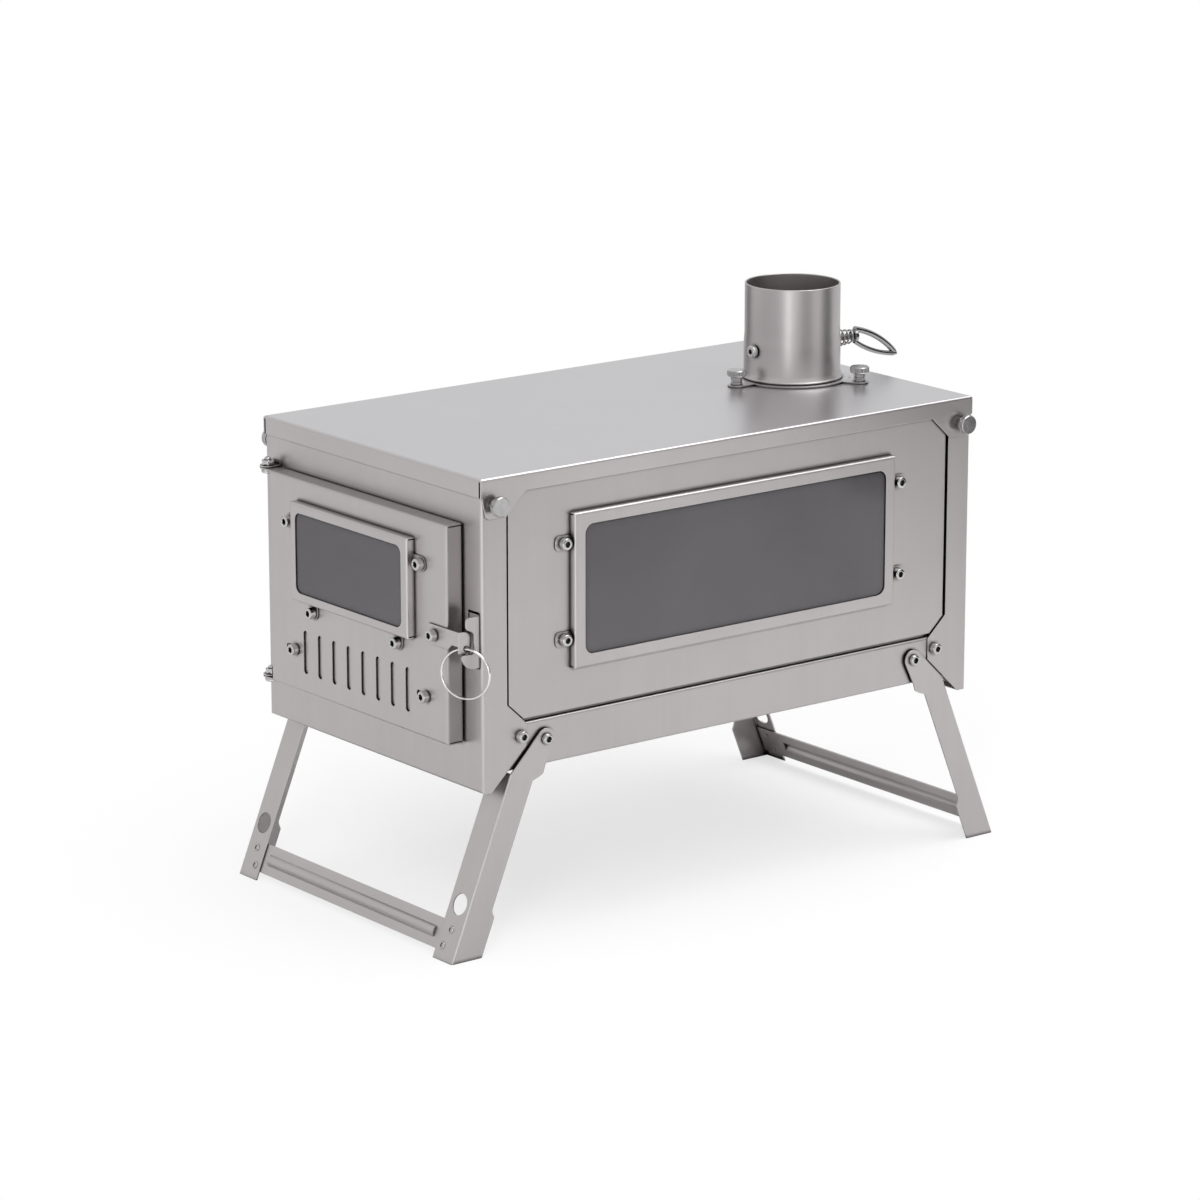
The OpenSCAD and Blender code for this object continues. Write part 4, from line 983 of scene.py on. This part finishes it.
class STOVE_OT_damper(bpy.types.Operator):
    """Shaft, disc screws and end screw of the flue damper"""

    bl_idname = "stove.damper"
    bl_label = "Damper"

    def execute(self, context):
        size = context.scene.stove_fasteners
        dress("Titanium inside", "damper_shaft")

        def rings(screw):
            head, tall = screw.widest, screw.high - screw.seat
            return [
                (screw.low - screw.seat, screw.shank),
                (0, screw.shank),
                (0, head),
                (tall * 0.4, head * 0.96),
                (tall * 0.8, head * 0.75),
                (tall, head * 0.4),
                (tall, head * 0.34, "hex"),
                (tall * 0.6, head * 0.34, "hex"),
            ]

        make_fasteners("damper_disc_screws", X, rings, "damper", 24, piece="dressed_disc_screws")

        low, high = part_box("damper_end_screw")
        tall, head = high.y - low.y, (high.x - low.x) / 2
        place = Matrix.Translation((low + high) / 2) @ Z.rotation_difference(-Y).to_matrix().to_4x4()
        end_rings = [
            (-tall / 2, head * 0.96),
            (-tall / 2 + 0.0002, head),
            (tall * 0.2, head),
            (tall * 0.36, head * 0.95),
            (tall * 0.5, head * 0.8),
            (tall * 0.5, head * 0.44),
            (tall * 0.48, head * 0.4, "hex"),
            (tall * 0.05, head * 0.4, "hex"),
        ]
        bm = bmesh.new()
        stack(bm, place, size.segments, end_rings)
        new_piece("dressed_end_screw", bm, "Polished steel", "damper", "steel", "damper_end_screw")
        return {"FINISHED"}


class STOVE_OT_damper_spring(bpy.types.Operator):
    """Conical spring between the collar and the handle"""

    bl_idname = "stove.damper_spring"
    bl_label = "Damper Spring"

    def execute(self, context):
        low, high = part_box("damper_spring")
        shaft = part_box("damper_shaft")
        axis_x, axis_z = (shaft[0].x + shaft[1].x) / 2, (shaft[0].z + shaft[1].z) / 2
        fail_without(abs((low.z + high.z) / 2 - axis_z) < 0.002, "the spring has left its shaft")
        big = (high.x - low.x) / 2
        start, end = low.y + 2 * SPRING_WIRE, high.y - 2 * SPRING_WIRE
        count = int(SPRING_TURNS * SPRING_STEPS)
        path = []
        for i in range(count + 1):
            t, angle = i / count, 2 * pi * i / SPRING_STEPS
            r = big * (1 - t) + SPRING_END * t - SPRING_WIRE
            y = start + (end - start) * t
            path.append(Vector((axis_x + r * cos(angle), y, axis_z + r * sin(angle))))
        bm = bmesh.new()
        tube(bm, path, SPRING_WIRE, sides=12)
        new_piece("coiled_spring", bm, "Bright wire", "damper", "bright_wire", "damper_spring")
        return {"FINISHED"}


def arc(p, q, sag, count=28):
    """Points of an arc from p to q in the YZ plane, bulging by sag to its left."""
    chord = (q - p).length
    big = (chord * chord / 4 + sag * sag) / (2 * sag)
    along = (q - p).normalized()
    left = Vector((0, -along.z, along.y))
    centre = (p + q) / 2 - left * (big - sag)
    half = asin(chord / 2 / big)
    angles = [half - 2 * half * i / count for i in range(count + 1)]
    return [centre + left * big * cos(a) - along * big * sin(a) for a in angles]


class STOVE_OT_damper_handle(bpy.types.Operator):
    """Bent wire loop that turns the damper"""

    bl_idname = "stove.damper_handle"
    bl_label = "Damper Handle"

    def execute(self, context):
        size = context.scene.stove_fasteners
        low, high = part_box("damper_handle")
        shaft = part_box("damper_shaft")
        axis_z = (shaft[0].z + shaft[1].z) / 2
        thick = size.loop_wire / 2
        bm = bmesh.new()
        place = Matrix.Translation((0, low.y, axis_z)) @ Matrix.Rotation(-pi / 2, 4, "X")
        boss_rings = [
            (0, BOSS_RADIUS - BOSS_EDGE),
            (0.0004, BOSS_RADIUS),
            (BOSS_LENGTH - 0.0005, BOSS_RADIUS),
            (BOSS_LENGTH, BOSS_RADIUS - BOSS_EDGE),
        ]
        stack(bm, place, size.segments, boss_rings)
        root = low.y + BOSS_LENGTH - ARM_INSIDE
        tip = Vector((0, high.y - thick - TIP_GAP, low.z + thick + TIP_GAP))
        upper = arc(Vector((0, root, axis_z + ARM_UP)), tip, UPPER_SAG)
        lower = arc(tip - TIP_BEND, Vector((0, root, axis_z - ARM_DOWN)), LOWER_SAG)

        def radius(t):
            return thick * (1 - THIN_BY * max(0, min(1, (t - THIN_FROM) * THIN_PACE)))

        tube(bm, [*upper, *lower[1:]], radius, sides=20)
        new_piece("wire_handle", bm, "Bright wire", "damper", "bright_wire", "damper_handle")
        return {"FINISHED"}


# ---- pull ring ----


RING_TURNS, RING_STEPS = 2, 72
# where along the way one turn crosses to the other, the crossing's share of it, and the turns' spread in wires
CROSS_FROM, CROSS_LENGTH, SPREAD = 0.46, 0.08, 0.7


class STOVE_OT_pull_ring(bpy.types.Operator):
    """Split ring of two turns that lifts the latch"""

    bl_idname = "stove.pull_ring"
    bl_label = "Pull Ring"

    def execute(self, context):
        wire = context.scene.stove_fasteners.ring_wire / 2
        points = [v.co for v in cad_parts["pull_ring"].data.vertices]
        centre = middle(points)
        low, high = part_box("pull_ring")
        mean = (high.z - low.z) / 2 - wire
        level = [p for p in points if abs(p.z - centre.z) < 0.001 and p.x > centre.x]
        fail_without(level, "the pull ring has no points at its middle")
        across = (sum(level, Vector()) / len(level) - centre) * Vector((1, 1, 0))
        across.normalize()
        normal = across.cross(Z)
        path, count = [], RING_TURNS * RING_STEPS
        for i in range(count + 1):
            t = i / count
            angle = 2 * pi * RING_TURNS * t - pi / 2
            crossed = min(max((t - CROSS_FROM) / CROSS_LENGTH, 0), 1)
            shift = (2 * crossed - 1) * wire * SPREAD
            path.append(centre + across * mean * cos(angle) + Z * mean * sin(angle) + normal * shift)

        def radius(t):
            """The wire's ends are ground thinner."""
            return wire * (1 - 0.35 * max(0, 1 - 40 * min(t, 1 - t)))

        bm = bmesh.new()
        tube(bm, path, radius, sides=14)
        new_piece("split_ring", bm, "Ring wire", "ring", "bright_wire", "pull_ring")
        return {"FINISHED"}


# ---- studio ----


FLOOR_RADIUS = 6
# the camera sees the floor fade to white between these distances from the shadow's middle
FADE_CENTRE, FADE_FROM, FADE_TO, FADE_START = (0, 0.1, 0), 0.16, 0.52, 0.64
# painted shade: where the metal mirrors it, the floor close to the stove is a little darker than the floor
# further off
MIRRORED_FLOOR_SHADE, DARK_FROM, DARK_TO = 0.78, 1.1, 0.35

# name, place, width, height of dark cards that only mirror in the metal and face CARD_AIM
CARDS = [
    ("card_right", (0.64, 0.90, 0.26), 0.56, 0.5),
    ("card_right_high", (1.3, 2.0, 0.9), 1.5, 1.0),
    ("card_left", (-0.95, -0.06, 0.24), 0.34, 0.46),
    ("card_collar", (0.8, 0.02, 0.2), 0.44, 0.2),
]
CARD_AIM = Vector((0, 0, 0.3))

CAMERA_PLACE = (2.2214, -1.7500, 0.8915)
CAMERA_DIP, CAMERA_TURN = 14.456, 52.125


def make_floor(studio):
    """A wide pale floor that keeps the stove's shadow."""
    tree, shader, coords = new_material("Pale floor")
    shader["Roughness"].default_value = 0.9
    shader["Specular IOR Level"].default_value = 0.1
    ray = node(tree, "ShaderNodeLightPath").outputs
    away = node(tree, "ShaderNodeVectorMath", {0: coords, 1: FADE_CENTRE}, operation="DISTANCE")
    limits = {"From Min": FADE_FROM, "From Max": FADE_TO, "To Min": FADE_START}
    fade = node(
        tree,
        "ShaderNodeMapRange",
        {"Value": away.outputs["Value"], **limits},
        interpolation_type="SMOOTHSTEP",
    )
    seen = maths(tree, "MULTIPLY", fade.outputs[0], ray["Is Camera Ray"])
    # painted shade that only the metal's reflections of the nearby floor show
    out = node(tree, "ShaderNodeVectorMath", {0: coords}, operation="LENGTH").outputs["Value"]
    close = remap(tree, out, start=DARK_FROM, stop=DARK_TO)
    share = maths(tree, "MULTIPLY", close, ray["Is Glossy Ray"])
    colour = blend(tree, share, tinted(studio.floor), tinted(studio.floor, MIRRORED_FLOOR_SHADE))
    tree.links.new(colour, shader["Base Color"])
    glow = node(tree, "ShaderNodeEmission", {"Color": (1, 1, 1, 1), "Strength": 1.0}).outputs[0]
    plain = tree.nodes["Principled BSDF"].outputs[0]
    mix = node(tree, "ShaderNodeMixShader", {0: seen, 1: plain, 2: glow}).outputs[0]
    tree.links.new(mix, tree.nodes["Material Output"].inputs["Surface"])
    bm = bmesh.new()
    bmesh.ops.create_circle(bm, segments=96, radius=FLOOR_RADIUS, cap_ends=True)
    new_object("studio_floor", bm, MATERIALS["Pale floor"])


def lamp(name, place, aim, width, height, power):
    """A rectangular lamp that shines from a place towards a point."""
    light = bpy.data.lights.new(name, "AREA")
    light.shape, light.size, light.size_y = "RECTANGLE", width, height
    light.energy = power
    obj = bpy.data.objects.new(name, light)
    obj.location = place
    obj.rotation_euler = (Vector(aim) - Vector(place)).to_track_quat("-Z", "Y").to_euler()
    bpy.context.scene.collection.objects.link(obj)
    return obj


def make_lamps(studio):
    """A large lamp above, one beside the camera that no metal mirrors, and a low strip that it does."""
    lamp("overhead_softbox", (0.5, 0.6, 2.0), (0, 0, 0.2), 1.6, 1.6, studio.overhead)
    side = lamp("side_softbox", (1.5, -1.5, 1.5), (0, 0, 0.2), 0.5, 1.0, studio.side * 1.3)
    side.visible_glossy = False
    # below the top plate's level, so that only upright faces mirror it
    strip = lamp("low_strip", (1.06, -1.12, 0.16), (0, 0.13, 0.32), 0.2, 0.22, studio.side * 0.085)
    strip.visible_camera = False


def make_cards():
    """Dark cards that shape what the walls and the collar mirror."""
    shader = new_material("Dark card")[1]
    shader["Base Color"].default_value = (0.02, 0.02, 0.02, 1)
    shader["Roughness"].default_value = 1.0
    shader["Specular IOR Level"].default_value = 0.0
    for name, place, width, height in CARDS:
        bm = bmesh.new()
        shape = Matrix.Diagonal((width, height, 1, 1))
        bmesh.ops.create_grid(bm, x_segments=1, y_segments=1, size=0.5, matrix=shape)
        card = new_object(name, bm, MATERIALS["Dark card"])
        card.location = place
        card.rotation_euler = (CARD_AIM - Vector(place)).to_track_quat("Z", "Y").to_euler()
        card.visible_camera = card.visible_diffuse = card.visible_shadow = card.visible_transmission = False


def make_room(studio):
    """Even light from all round, which looks white to the camera and through glass."""
    world = bpy.data.worlds.new("white_room")
    world.use_nodes = True
    tree = world.node_tree
    ray = node(tree, "ShaderNodeLightPath").outputs
    seen = maths(tree, "MAXIMUM", ray["Is Camera Ray"], ray["Is Glossy Ray"])
    clear = maths(tree, "MAXIMUM", seen, ray["Is Transmission Ray"])
    dimmed = maths(tree, "MULTIPLY", ray["Is Glossy Ray"], 1.0 - studio.mirrored)
    strength = remap(tree, clear, low=studio.sky, high=maths(tree, "SUBTRACT", 1.0, dimmed))
    back = tree.nodes["Background"].inputs
    tree.links.new(strength, back["Strength"])
    back["Color"].default_value = (1, 1, 1, 1)
    bpy.context.scene.world = world


def make_camera(studio):
    """The camera from which the photograph's view is matched."""
    data = bpy.data.cameras.new("photo_camera")
    data.lens, data.sensor_width, data.clip_end = studio.lens, 36, 50
    camera = bpy.data.objects.new("photo_camera", data)
    camera.location = CAMERA_PLACE
    camera.rotation_euler = (radians(90 - CAMERA_DIP), 0, radians(CAMERA_TURN))
    bpy.context.scene.collection.objects.link(camera)
    bpy.context.scene.camera = camera


class STOVE_OT_studio(bpy.types.Operator):
    """Pale floor, soft lamps, white room and the camera"""

    bl_idname = "stove.studio"
    bl_label = "Studio"

    def execute(self, context):
        studio = context.scene.stove_studio
        make_floor(studio)
        make_lamps(studio)
        make_cards()
        make_room(studio)
        make_camera(studio)
        context.scene.view_settings.view_transform = "Standard"
        return {"FINISHED"}


# ---- panel and run ----


PIECES = [
    STOVE_OT_sheet_metal,
    STOVE_OT_windows,
    STOVE_OT_socket_screws,
    STOVE_OT_nuts,
    STOVE_OT_thumb_screws,
    STOVE_OT_hinge_bolts,
    STOVE_OT_rivets,
    STOVE_OT_leg_bars,
    STOVE_OT_flue_collar,
    STOVE_OT_damper,
    STOVE_OT_damper_spring,
    STOVE_OT_damper_handle,
    STOVE_OT_pull_ring,
    STOVE_OT_studio,
]
GROUPS = {"stove_metal": StoveMetal, "stove_fasteners": StoveFasteners, "stove_studio": StoveStudio}


class STOVE_PT_builder(bpy.types.Panel):
    """Lists the stove's settings and pieces in the sidebar"""

    bl_idname = "STOVE_PT_builder"
    bl_label = "Tent Wood Stove"
    bl_space_type = "VIEW_3D"
    bl_region_type = "UI"
    bl_category = "Stove"

    def draw(self, context):
        for key, group in GROUPS.items():
            box = self.layout.box()
            for field in group.__annotations__:
                box.prop(getattr(context.scene, key), field)
        for piece in PIECES:
            self.layout.operator(piece.bl_idname)


def register():
    for cls in (*GROUPS.values(), *PIECES, STOVE_PT_builder):
        bpy.utils.register_class(cls)
    for key, group in GROUPS.items():
        setattr(bpy.types.Scene, key, PointerProperty(type=group))


def unregister():
    for key in GROUPS:
        delattr(bpy.types.Scene, key)
    for cls in (STOVE_PT_builder, *reversed(PIECES), *reversed(GROUPS.values())):
        bpy.utils.unregister_class(cls)


def main():
    """Registers the add-on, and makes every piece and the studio."""
    register()
    for piece in PIECES:
        group, name = piece.bl_idname.split(".")
        getattr(getattr(bpy.ops, group), name)()


if __name__ == "__main__":
    main()
